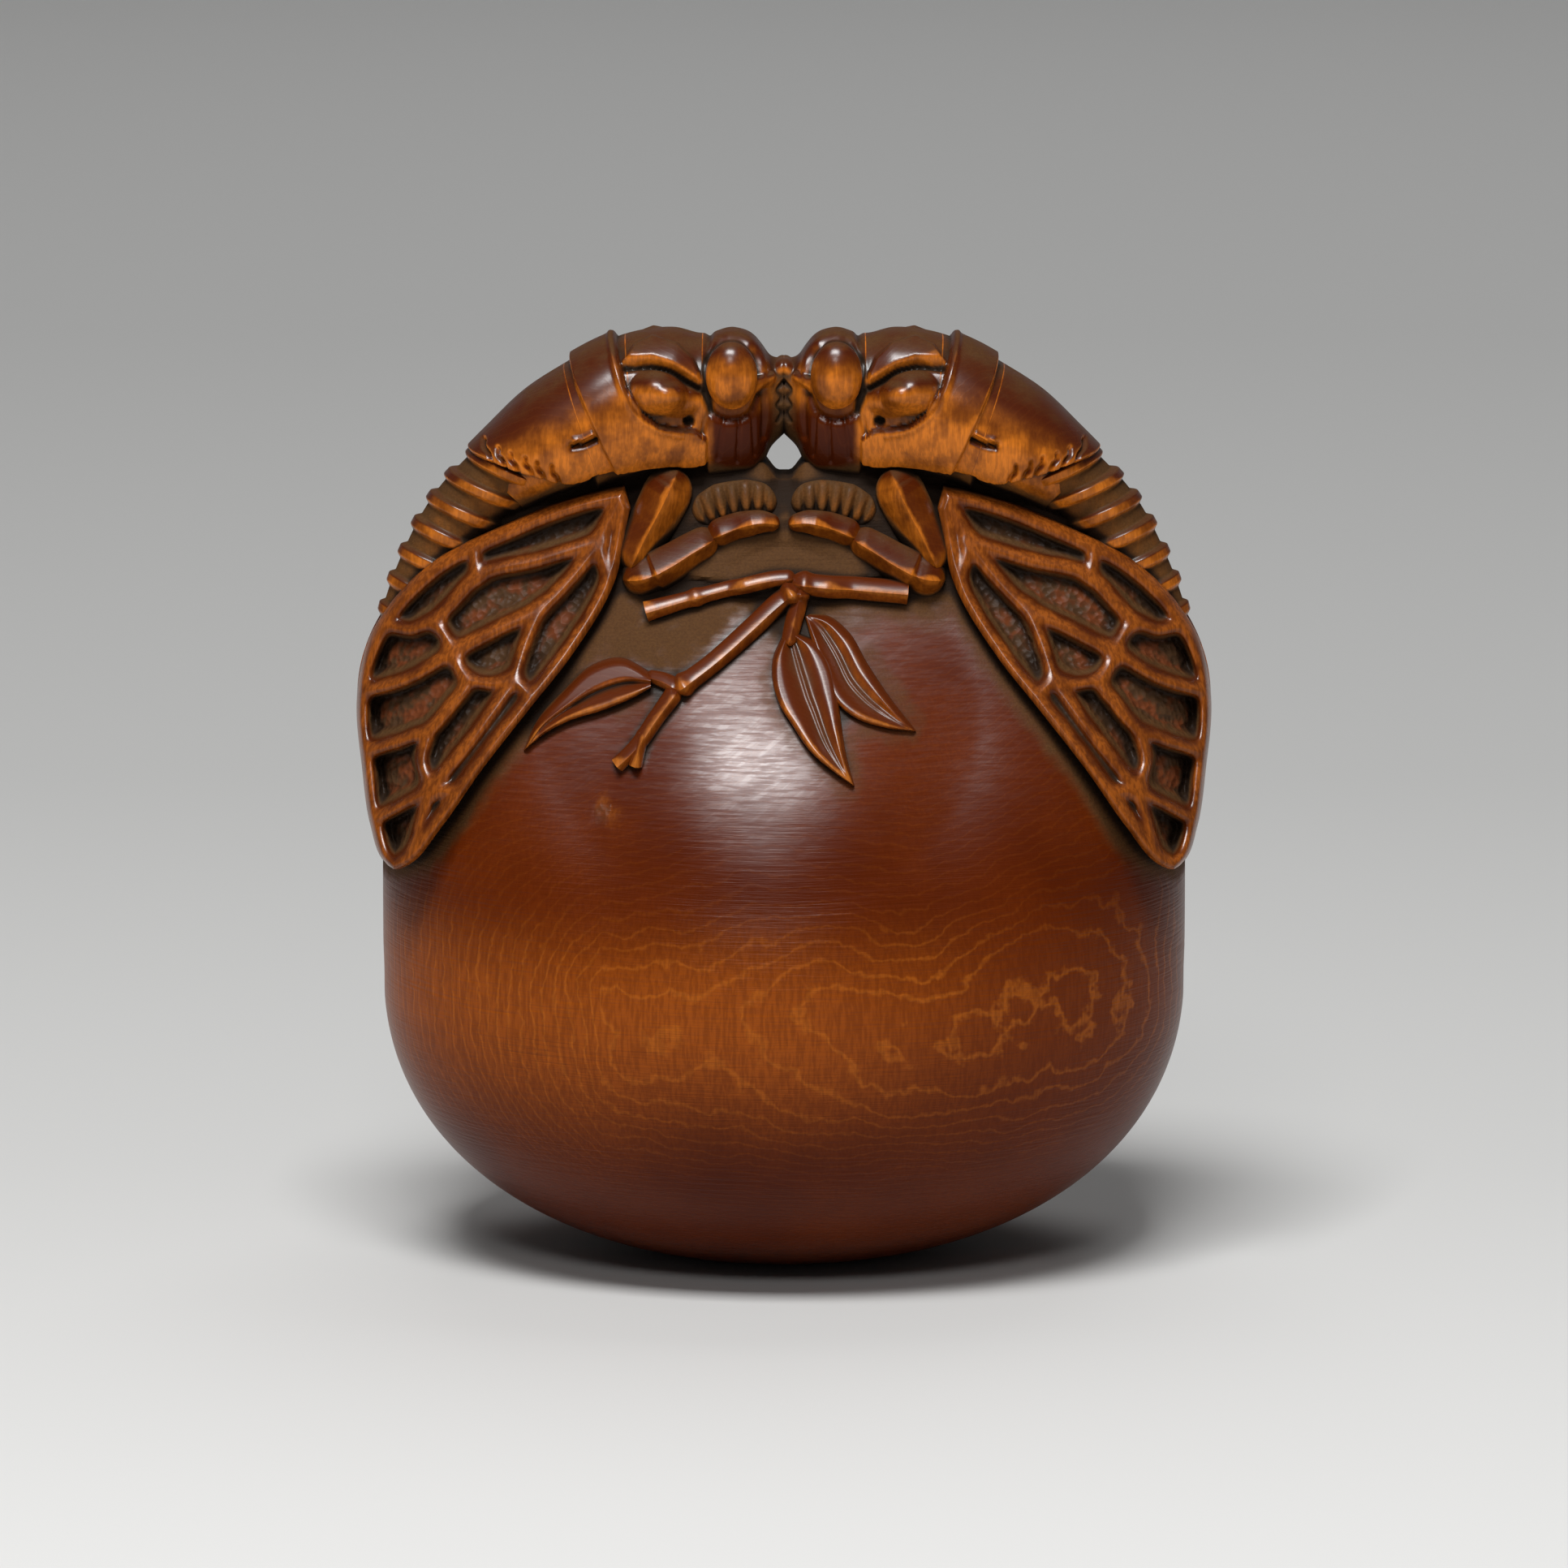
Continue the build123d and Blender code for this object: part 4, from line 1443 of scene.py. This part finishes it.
class Effects:
    """Effects that several finishes share, each a node group with named sockets."""

    pith: Colour = (-1.0, 9.6, 0.6)  # heart of the tree, behind the drum
    taper: Colour = (1.0, 1.0, 0.04)  # rings change little along the trunk
    sway_scale: float = 0.17
    tremble_scale: float = 1.3
    tremble: float = 0.2  # share of the sway
    lean_from: float = -9.0  # left of here the rings lean outward
    lean: float = 0.3
    line_edge: Point = (0.34, 0.5)  # shares of a ring
    tone_scale: float = 0.12
    fibre_pull: Colour = (1.0, 1.0, 0.14)
    fibre_scale: float = 6.0
    patch_scale: float = 0.7
    patch_strength: float = 1.5
    wear_edge: Point = (0.1, 0.95)
    wear_start: Point = (0.0, 0.3)
    wear_share: float = 0.8
    drift_scale: float = 0.9
    drift_strength: float = 0.7
    dust_edge: Point = (0.15, 0.9)
    dust_share: float = 0.85
    speck_scale: float = 8.0
    speck_edge: Point = (0.25, 0.75)
    speck_wax: float = 0.4
    wax_edge: Point = (0.1, 0.95)

    def __init__(self) -> None:
        """Makes the groups once."""
        self.rings = self.ring_grain()
        self.wear = self.edge_wear()
        self.dust = self.dust_wax_and_shade()

    def group(
        self, name: str, inputs: dict[str, str], outputs: dict[str, str]
    ) -> tuple[Bench, bpy.types.Node, bpy.types.Node]:
        """An empty group with its sockets.

        Args:
            name: name of the group.
            inputs: kinds of the input sockets by name.
            outputs: kinds of the output sockets by name.

        Returns:
            The bench, the group's input node and its output node.
        """
        tree = bpy.data.node_groups.new(name, "ShaderNodeTree")
        for way, sockets in (("INPUT", inputs), ("OUTPUT", outputs)):
            for label, kind in sockets.items():
                tree.interface.new_socket(label, in_out=way, socket_type=f"NodeSocket{kind}")
        bench = Bench(tree)
        return bench, bench.node("NodeGroupInput"), bench.node("NodeGroupOutput")

    def ring_grain(self) -> bpy.types.NodeTree:
        """Growth rings: thin pale lines on cylinders about the heart of the tree, bent a little.

        Returns:
            The group.
        """
        bench, given, out = self.group(
            "ring_grain",
            {"Place": "Vector", "Spacing": "Float", "Bend": "Float"},
            {"Line": "Float", "Tone": "Float", "Fibre": "Float"},
        )
        place = given.outputs["Place"]
        offset = bench.node("ShaderNodeVectorMath", operation="SUBTRACT")
        bench.feed(offset.inputs[0], bench.stretch(place, self.taper))
        offset.inputs[1].default_value = self.pith
        radius = bench.node("ShaderNodeVectorMath", operation="LENGTH")
        bench.feed(radius.inputs[0], offset.outputs[0])
        tremble = bench.times(bench.ripple(place, self.tremble_scale, 2.0, 0.5), self.tremble)
        sway = bench.plus(bench.ripple(place, self.sway_scale, 2.0, 0.5), tremble)
        beyond = bench.most(bench.math("SUBTRACT", self.lean_from, bench.axis(place, 0)), 0.0)
        upright = bench.math("SUBTRACT", radius.outputs["Value"], bench.times(beyond, self.lean))
        far = bench.plus(upright, bench.times(sway, given.outputs["Bend"]))
        wave = bench.math("PINGPONG", bench.math("DIVIDE", far, given.outputs["Spacing"]), 0.5)
        fibre = bench.noise(bench.stretch(place, self.fibre_pull), self.fibre_scale, 2.0, 0.6)
        bench.feed(out.inputs["Line"], bench.ramp(wave, *self.line_edge))
        bench.feed(out.inputs["Tone"], bench.noise(place, self.tone_scale))
        bench.feed(out.inputs["Fibre"], fibre)
        return bench.tree

    def edge_wear(self) -> bpy.types.NodeTree:
        """Edges rubbed through the dark wax to golden wood, in broken patches.

        Returns:
            The group.
        """
        bench, given, out = self.group(
            "edge_wear",
            {"Place": "Vector", "Colour": "Color", "Worn": "Color", "Wear": "Float"},
            {"Colour": "Color"},
        )
        wear = given.outputs["Wear"]
        broken = bench.times(bench.ripple(given.outputs["Place"], self.patch_scale), self.patch_strength)
        rubbed = bench.ramp(bench.plus(wear, broken), *self.wear_edge)
        mask = bench.times(bench.times(rubbed, bench.ramp(wear, *self.wear_start)), self.wear_share)
        bench.feed(out.inputs["Colour"], bench.mix(mask, given.outputs["Colour"], given.outputs["Worn"]))
        return bench.tree

    def dust_wax_and_shade(self) -> bpy.types.NodeTree:
        """Dull dust on sheltered ground, and near-black wax in the deepest lines, which also paints the shade there.

        Returns:
            The group.
        """
        bench, given, out = self.group(
            "dust_wax_and_shade",
            {
                "Place": "Vector", "Colour": "Color", "Dust": "Color", "Wax": "Color",
                "Shelter": "Float", "Depth": "Float",
            },
            {"Colour": "Color", "Mask": "Float", "Grain": "Float"},
        )
        place, powder, wax = (given.outputs[label] for label in ("Place", "Dust", "Wax"))
        drift = bench.times(bench.ripple(place, self.drift_scale), self.drift_strength)
        mask = bench.ramp(bench.plus(given.outputs["Shelter"], drift), *self.dust_edge)
        grain = bench.noise(place, self.speck_scale, 3.0, 0.6)
        speck = bench.mix(bench.ramp(grain, *self.speck_edge), bench.mix(self.speck_wax, powder, wax), powder)
        dusty = bench.mix(bench.times(mask, self.dust_share), given.outputs["Colour"], speck)
        # near-black in the deepest lines: dark wax, and painted shade
        deep = bench.ramp(given.outputs["Depth"], *self.wax_edge)
        bench.feed(out.inputs["Colour"], bench.mix(deep, dusty, wax))
        bench.feed(out.inputs["Mask"], mask)
        bench.feed(out.inputs["Grain"], bench.times(grain, mask))
        return bench.tree


@dataclass(frozen=True)
class WoodFinish:
    """Old boxwood with a wax finish."""

    name: str
    deep: Colour
    clear: Colour
    line: Colour
    worn: Colour
    dust: Colour = (0.094, 0.046, 0.015)
    # near-black of dark wax, also the painted shade in the deepest creases
    wax: Colour = (0.018, 0.0095, 0.0052)
    floor: Colour = (0.062, 0.03, 0.0135)
    floor_red: Colour = (0.13, 0.035, 0.0115)
    polish: float = 0.25
    matte: float = 0.72
    ring_spacing: float = 0.23
    ring_bend: float = 1.0
    ring_show: float = 0.5
    fibre: float = 0.5
    top_dust: float = 0.0
    gloss: float = 0.1
    coat: float = 0.8
    coat_rough: float = 0.2
    lined: float = 0.1
    painted_lit_band: bool = False  # a painted lit band round the belly, fading into painted shade towards the foot and towards the right
    sanding: float = 0.22
    # painted lit band: levels where it has faded out and where it is full, above and below it, and how far its edges
    # wave
    lit_band_top: Point = (22.5, 16.5)
    lit_band_foot: Point = (7.5, 16.5)
    lit_band_sway: float = 3.0
    # painted shade over the band's right side: where it starts and is full, and how strong it is
    painted_shade_side: Point = (-2.0, 15.0)
    painted_shade_strength: float = 0.8
    lines_off_lit_band: float = 0.1
    tone_edge: Point = (0.3, 0.7)
    fibre_edge: Point = (0.62, 0.38)
    mottle_scale: float = 0.7
    mottle_least: float = 0.35
    proud_wear: float = 0.75
    floor_scale: float = 1.1
    floor_edge: Point = (0.42, 0.62)
    floor_matte: float = 0.5
    rubbed_level: Point = (20.5, 27.0)
    shade_dull: float = 0.9
    under_dull: float = 0.75
    sanding_pull: Colour = (0.3, 0.3, 3.2)
    sanding_long: Colour = (0.12, 0.12, 3.2)
    sanding_scale: float = 2.2
    sanding_edge: Point = (0.4, 0.6)
    scratch_slant: float = 38.0
    scratch_pull: Colour = (0.16, 0.16, 2.4)
    scratch_scale: float = 1.6
    scratch_edge: Point = (0.5, 0.62)
    scratch_share: float = 0.5
    punch_scale: float = 2.6
    punch_soft: float = 0.35
    punch_depth: float = 4.5
    ring_depth: float = 0.06
    speck_depth: float = 0.9
    bump: float = 0.5
    bump_height: float = 0.08

    def material(self, effects: Effects) -> bpy.types.Material:
        """The material: clean wood, then wear, cell floors, dust and polish.

        Args:
            effects: the shared groups.

        Returns:
            The material.
        """
        made = bpy.data.materials.new(self.name)
        made.use_nodes = True
        bench = Bench(made.node_tree)
        shader = made.node_tree.nodes["Principled BSDF"]
        place = bench.stretch(bench.node("ShaderNodeTexCoord").outputs["Object"], (1 / MM, 1 / MM, 1 / MM))
        rings = bench.group(effects.rings, Place=place, Spacing=self.ring_spacing, Bend=self.ring_bend)
        proud = bench.most(bench.mask("wear"), bench.times(bench.mask("proud"), self.proud_wear))
        clean = self.ground(bench, place, rings)
        wear = bench.group(effects.wear, Place=place, Colour=clean, Worn=self.worn, Wear=proud)
        fibre = bench.times(bench.ramp(rings.outputs["Fibre"], *self.fibre_edge), self.fibre)
        grained = bench.mix(fibre, wear.outputs["Colour"], self.deep)
        cell = bench.mask("cell")
        patchy = bench.ramp(bench.noise(place, self.floor_scale, 2.0), *self.floor_edge)
        floored = bench.mix(cell, grained, bench.mix(patchy, self.floor, self.floor_red))
        lee = bench.most(bench.mask("settle"), bench.times(bench.mask("dust"), bench.rest(cell)))
        shelter = bench.most(lee, bench.times(bench.mask("top"), self.top_dust))
        # dust, dark wax, and painted shade in the deepest creases
        dust = bench.group(
            effects.dust, Place=place, Colour=floored, Dust=self.dust, Wax=self.wax,
            Shelter=shelter, Depth=bench.mask("wax_and_shade"),
        )
        bench.feed(shader.inputs["Base Color"], dust.outputs["Colour"])
        rough = bench.node("ShaderNodeMix", data_type="FLOAT")
        bench.feed(rough.inputs[0], bench.most(dust.outputs["Mask"], bench.times(cell, self.floor_matte)))
        rough.inputs[2].default_value = self.polish
        rough.inputs[3].default_value = self.matte
        bench.feed(shader.inputs["Roughness"], rough.outputs[0])
        shader.inputs["Specular IOR Level"].default_value = self.gloss
        bare = bench.times(bench.rest(cell), bench.rest(dust.outputs["Mask"]))
        bench.feed(shader.inputs["Coat Weight"], self.shine(bench, place, bare))
        shader.inputs["Coat Roughness"].default_value = self.coat_rough
        bench.feed(shader.inputs["Normal"], self.relief(bench, place, rings, dust, cell))
        return made

    def ground(self, bench: Bench, place: Socket, rings: bpy.types.Node) -> Socket:
        """Colour of the clean wood: a painted lit band round the belly, or a golden glow painted on surfaces that face
        down, with ring lines.

        Args:
            bench: the material's bench.
            place: places in millimetres.
            rings: the ring group.

        Returns:
            The colour.
        """
        lines = bench.times(rings.outputs["Line"], self.ring_show)
        if not self.painted_lit_band:
            # Painted light: surfaces that face down get a golden glow in the clear colour, less where the shade mask
            # paints shade.
            glow = bench.times(bench.mask("under"), bench.rest(bench.mask("shade")))
            mottle = bench.ramp(bench.noise(place, self.mottle_scale), *self.tone_edge)
            share = bench.math("MULTIPLY", glow, bench.plus(mottle, self.mottle_least), True)
            wood = bench.mix(share, self.deep, self.clear)
            return bench.mix(lines, wood, self.line)
        # Painted light: a lit band round the belly in the line colour, fading above and below, into painted shade
        # towards the foot; towards the right the painted shade turns it to the clear colour.
        rise = bench.plus(bench.axis(place, 2), bench.times(rings.outputs["Tone"], self.lit_band_sway))
        band = bench.times(bench.ramp(rise, *self.lit_band_top), bench.ramp(rise, *self.lit_band_foot))
        dark = bench.times(bench.ramp(bench.axis(place, 0), *self.painted_shade_side), self.painted_shade_strength)
        plain = bench.mix(bench.ramp(rings.outputs["Tone"], *self.tone_edge), self.deep, self.clear)
        wood = bench.mix(band, plain, bench.mix(dark, self.line, self.clear))
        # ring lines show mostly inside the painted lit band
        shown = bench.plus(bench.times(band, 1.0 - self.lines_off_lit_band), self.lines_off_lit_band)
        return bench.mix(bench.times(lines, shown), wood, self.worn)

    def shine(self, bench: Bench, place: Socket, bare: Socket) -> Socket:
        """Share of polish: on rubbed, bare wood, broken by sanding lines and slanting scratches.

        Args:
            bench: the material's bench.
            place: places in millimetres.
            bare: mask of wood free of dust.

        Returns:
            The share.
        """
        if self.painted_lit_band:
            rubbed = bench.ramp(bench.axis(place, 2), *self.rubbed_level)
        else:
            held = bench.rest(bench.times(bench.mask("shade"), self.shade_dull))
            rubbed = bench.times(held, bench.rest(bench.times(bench.mask("under"), self.under_dull)))
        sanding = bench.noise(bench.stretch(place, self.sanding_pull), self.sanding_scale, 3.0, 0.6)
        slant = bench.node("ShaderNodeVectorRotate", rotation_type="Y_AXIS")
        bench.feed(slant.inputs["Vector"], place)
        slant.inputs["Angle"].default_value = math.radians(self.scratch_slant)
        pulled = bench.stretch(slant.outputs[0], self.scratch_pull)
        scratch = bench.ramp(bench.noise(pulled, self.scratch_scale, 2.0), *self.scratch_edge)
        scored = bench.plus(bench.times(scratch, self.scratch_share), 1.0 - self.scratch_share / 2)
        grain = bench.times(bench.ramp(sanding, *self.sanding_edge), scored)
        lines = bench.plus(bench.times(grain, self.lined), 1.0 - self.lined)
        return bench.math("MULTIPLY", bench.times(bench.times(rubbed, bare), lines), self.coat, True)

    def relief(
        self, bench: Bench, place: Socket, rings: bpy.types.Node, dust: bpy.types.Node, cell: Socket
    ) -> Socket:
        """Fine relief: sanding lines, ring lines, dust grains, and punch marks on the cell floors.

        Args:
            bench: the material's bench.
            place: places in millimetres.
            rings: the ring group.
            dust: the dust group.
            cell: mask of the cell floors.

        Returns:
            The bumped normal.
        """
        sanding = bench.noise(bench.stretch(place, self.sanding_long), self.sanding_scale, 3.0, 0.6)
        punch = bench.node("ShaderNodeTexVoronoi", feature="SMOOTH_F1")
        bench.feed(punch.inputs["Vector"], place)
        punch.inputs["Scale"].default_value = self.punch_scale
        punch.inputs["Smoothness"].default_value = self.punch_soft
        pits = bench.times(bench.times(punch.outputs["Distance"], cell), self.punch_depth)
        cuts = bench.times(rings.outputs["Line"], self.ring_depth)
        lines = bench.plus(bench.times(sanding, self.sanding), cuts)
        total = bench.plus(bench.plus(lines, pits), bench.times(dust.outputs["Grain"], self.speck_depth))
        bump = bench.node("ShaderNodeBump")
        bump.inputs["Strength"].default_value = self.bump
        bump.inputs["Distance"].default_value = self.bump_height * MM
        bench.feed(bump.inputs["Height"], total)
        return bump.outputs[0]


# Colours are deep, clear, line and worn; away from the belly, clear is the golden glow painted on surfaces that face
# down.
FINISHES: dict[Slot, WoodFinish] = {
    # On the belly the line colour is the painted lit band's colour, and its ring lines take the worn colour.
    Slot.BODY: WoodFinish(
        "Belly_wood", (0.07, 0.0092, 0.0008), (0.11, 0.0172, 0.0014), (0.28, 0.061, 0.0048), (0.45, 0.122, 0.011),
        polish=0.3, ring_show=0.45, fibre=0.32, coat=0.9, coat_rough=0.29, lined=0.6, painted_lit_band=True, sanding=1.1,
    ),
    Slot.WING: WoodFinish(
        "Wing_wood", (0.055, 0.0095, 0.0013), (0.17, 0.035, 0.0034), (0.3, 0.075, 0.009), (0.33, 0.085, 0.0088),
        ring_show=0.04, fibre=0.5, top_dust=0.15, coat=0.7, coat_rough=0.24,
    ),
    Slot.SPRIG: WoodFinish(
        "Sprig_wood", (0.085, 0.0145, 0.0018), (0.3, 0.07, 0.0065), (0.32, 0.08, 0.009), (0.46, 0.14, 0.017),
        ring_show=0.04, fibre=0.32, coat=0.75, coat_rough=0.3,
    ),
    Slot.INSECT: WoodFinish(
        "Insect_wood", (0.06, 0.0092, 0.0013), (0.62, 0.172, 0.0125), (0.42, 0.11, 0.012), (0.52, 0.147, 0.0135),
        ring_show=0.03, fibre=0.3, top_dust=0.6, coat=0.75, coat_rough=0.25,
    ),
}


@dataclass(frozen=True)
class Lamp:
    """A soft lamp: where it stands in degrees and metres, its size in metres, and its power in watts."""

    name: str
    azimuth: float  # to the right of the front
    elevation: float
    distance: float
    size: Point
    watts: float
    shines: bool = False  # whether it is seen in polished wood


@dataclass(frozen=True)
class Studio:
    """Pale sweep, soft lights and the camera, in metres."""

    target_height: float = 0.0241
    distance: float = 0.4
    elevation: float = 10.0
    lens: float = 180.4
    sensor: float = 36.0
    nearest: float = 0.01
    lamps: tuple[Lamp, ...] = (
        Lamp("Top_softbox", -11, 63.5, 0.6, (0.28, 0.16), 4.0, True),
        Lamp("Front_fill", -6, 38, 1.0, (0.26, 0.18), 1.6, True),
        Lamp("Back_fill", 170, 60, 1.1, (0.8, 0.6), 2.8),
    )
    sky: Colour = (0.5, 0.5, 0.51)
    sky_strength: float = 0.12
    floor_front: float = -0.9
    bend_from: float = 1.4
    bend_radius: float = 0.5
    backdrop_top: float = 1.8
    half_span: float = 1.5
    # painted light falloff over the paper: lighter in front, darker for a stretch behind the drum, lighter again far
    # back
    falloff_range: Point = (-0.1, 0.9)
    painted_falloff_tones: tuple[Point, ...] = ((0.01, 0.67), (0.12, 0.54), (0.24, 0.49), (0.5, 0.56), (0.99, 0.86))
    floor_blue: float = 0.985
    floor_rough: float = 0.8

    def paper(self) -> bpy.types.Material:
        """Pale paper whose tone paints the light's falloff; it follows the distance behind the drum.

        Returns:
            The material.
        """
        made = bpy.data.materials.new("Pale_paper")
        made.use_nodes = True
        bench = Bench(made.node_tree)
        shader = made.node_tree.nodes["Principled BSDF"]
        away = bench.axis(bench.node("ShaderNodeTexCoord").outputs["Object"], 1)
        painted_falloff = bench.node("ShaderNodeValToRGB")
        bench.feed(painted_falloff.inputs[0], bench.ramp(away, *self.falloff_range, soft=False))
        for place, tone in self.painted_falloff_tones:
            stop = painted_falloff.color_ramp.elements.new(place)
            stop.color = (tone, tone, self.floor_blue * tone, 1)
        for spare in (0, -1):
            painted_falloff.color_ramp.elements.remove(painted_falloff.color_ramp.elements[spare])
        bench.feed(shader.inputs["Base Color"], painted_falloff.outputs[0])
        shader.inputs["Roughness"].default_value = self.floor_rough
        return made

    def sweep(self) -> bpy.types.Object:
        """A pale floor that curves up into a backdrop: straight, a quarter turn, straight.

        Returns:
            The sweep.
        """
        turn = np.linspace(0, np.pi / 2, 24)
        bend = np.column_stack((
            self.bend_from + self.bend_radius * np.sin(turn), self.bend_radius - self.bend_radius * np.cos(turn)
        ))
        back = self.bend_from + self.bend_radius
        profile = np.concatenate(([(self.floor_front, 0.0)], bend, [(back, self.backdrop_top)]))
        across = np.linspace(-self.half_span, self.half_span, 7)
        corners = np.stack((
            np.repeat(across[:, None], len(profile), axis=1),
            np.repeat(profile[None, :, 0], len(across), axis=0),
            np.repeat(profile[None, :, 1], len(across), axis=0),
        ), axis=-1)
        index = np.arange(corners.shape[0] * corners.shape[1]).reshape(corners.shape[:2])
        quads = np.stack((index[:-1, :-1], index[1:, :-1], index[1:, 1:], index[:-1, 1:]), axis=-1).reshape(-1, 4)
        mesh = bpy.data.meshes.new("Sweep")
        mesh.from_pydata(corners.reshape(-1, 3).tolist(), [], quads.tolist())
        mesh.polygons.foreach_set("use_smooth", np.ones(len(mesh.polygons), bool))
        mesh.materials.append(self.paper())
        made = bpy.data.objects.new("Sweep", mesh)
        bpy.context.scene.collection.objects.link(made)
        return made

    def stand(self, made: bpy.types.Object, azimuth: float, elevation: float, distance: float) -> None:
        """Stands a lamp or the camera round the drum and turns it to the drum's middle.

        Args:
            made: the lamp or camera.
            azimuth: degrees to the right of the front.
            elevation: degrees above the horizon.
            distance: metres from the drum.
        """
        side, up = math.radians(azimuth), math.radians(elevation)
        away = Vector((math.sin(side) * math.cos(up), -math.cos(side) * math.cos(up), math.sin(up)))
        made.location = Vector((0, 0, self.target_height)) + away * distance
        made.rotation_euler = (-away).to_track_quat("-Z", "Y").to_euler()
        bpy.context.scene.collection.objects.link(made)

    def light(self, lamp: Lamp) -> None:
        """Adds a soft lamp aimed at the drum.

        Args:
            lamp: what it is and where it stands.
        """
        light = bpy.data.lights.new(lamp.name, "AREA")
        light.shape = "RECTANGLE"
        light.size, light.size_y = lamp.size
        light.energy = lamp.watts
        made = bpy.data.objects.new(lamp.name, light)
        made.visible_glossy = lamp.shines
        self.stand(made, lamp.azimuth, lamp.elevation, lamp.distance)

    def build(self) -> None:
        """Sweep, lamps, sky and camera."""
        self.sweep()
        for lamp in self.lamps:
            self.light(lamp)
        world = bpy.data.worlds.new("Studio")
        world.use_nodes = True
        background = world.node_tree.nodes["Background"]
        background.inputs[0].default_value = (*self.sky, 1)
        background.inputs[1].default_value = self.sky_strength
        scene = bpy.context.scene
        scene.world = world
        scene.view_settings.view_transform = "Standard"
        camera = bpy.data.cameras.new("Camera")
        camera.lens = self.lens
        camera.sensor_width = self.sensor
        camera.clip_start = self.nearest
        made = bpy.data.objects.new("Camera", camera)
        self.stand(made, 0.0, self.elevation, self.distance)
        scene.camera = made


def main() -> None:
    """Builds the drum and its studio."""
    logging.basicConfig(level=logging.INFO, format="%(message)s")
    body = SoundBody()
    pieces = body.build() + Cicada().build() + Sprig().build()
    Patina().dress(pieces, body.cloud())
    effects = Effects()
    materials = {slot: finish.material(effects) for slot, finish in FINISHES.items()}
    for piece in pieces:
        made = piece.mesh(weld=piece.slot is Slot.BODY)
        made.data.materials.append(materials[piece.slot])
        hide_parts(*piece.nodes)
        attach(made, "root")
        log.info("%s: %d faces", piece.name, len(made.data.polygons))
    Studio().build()


if __name__ == "__main__":
    main()
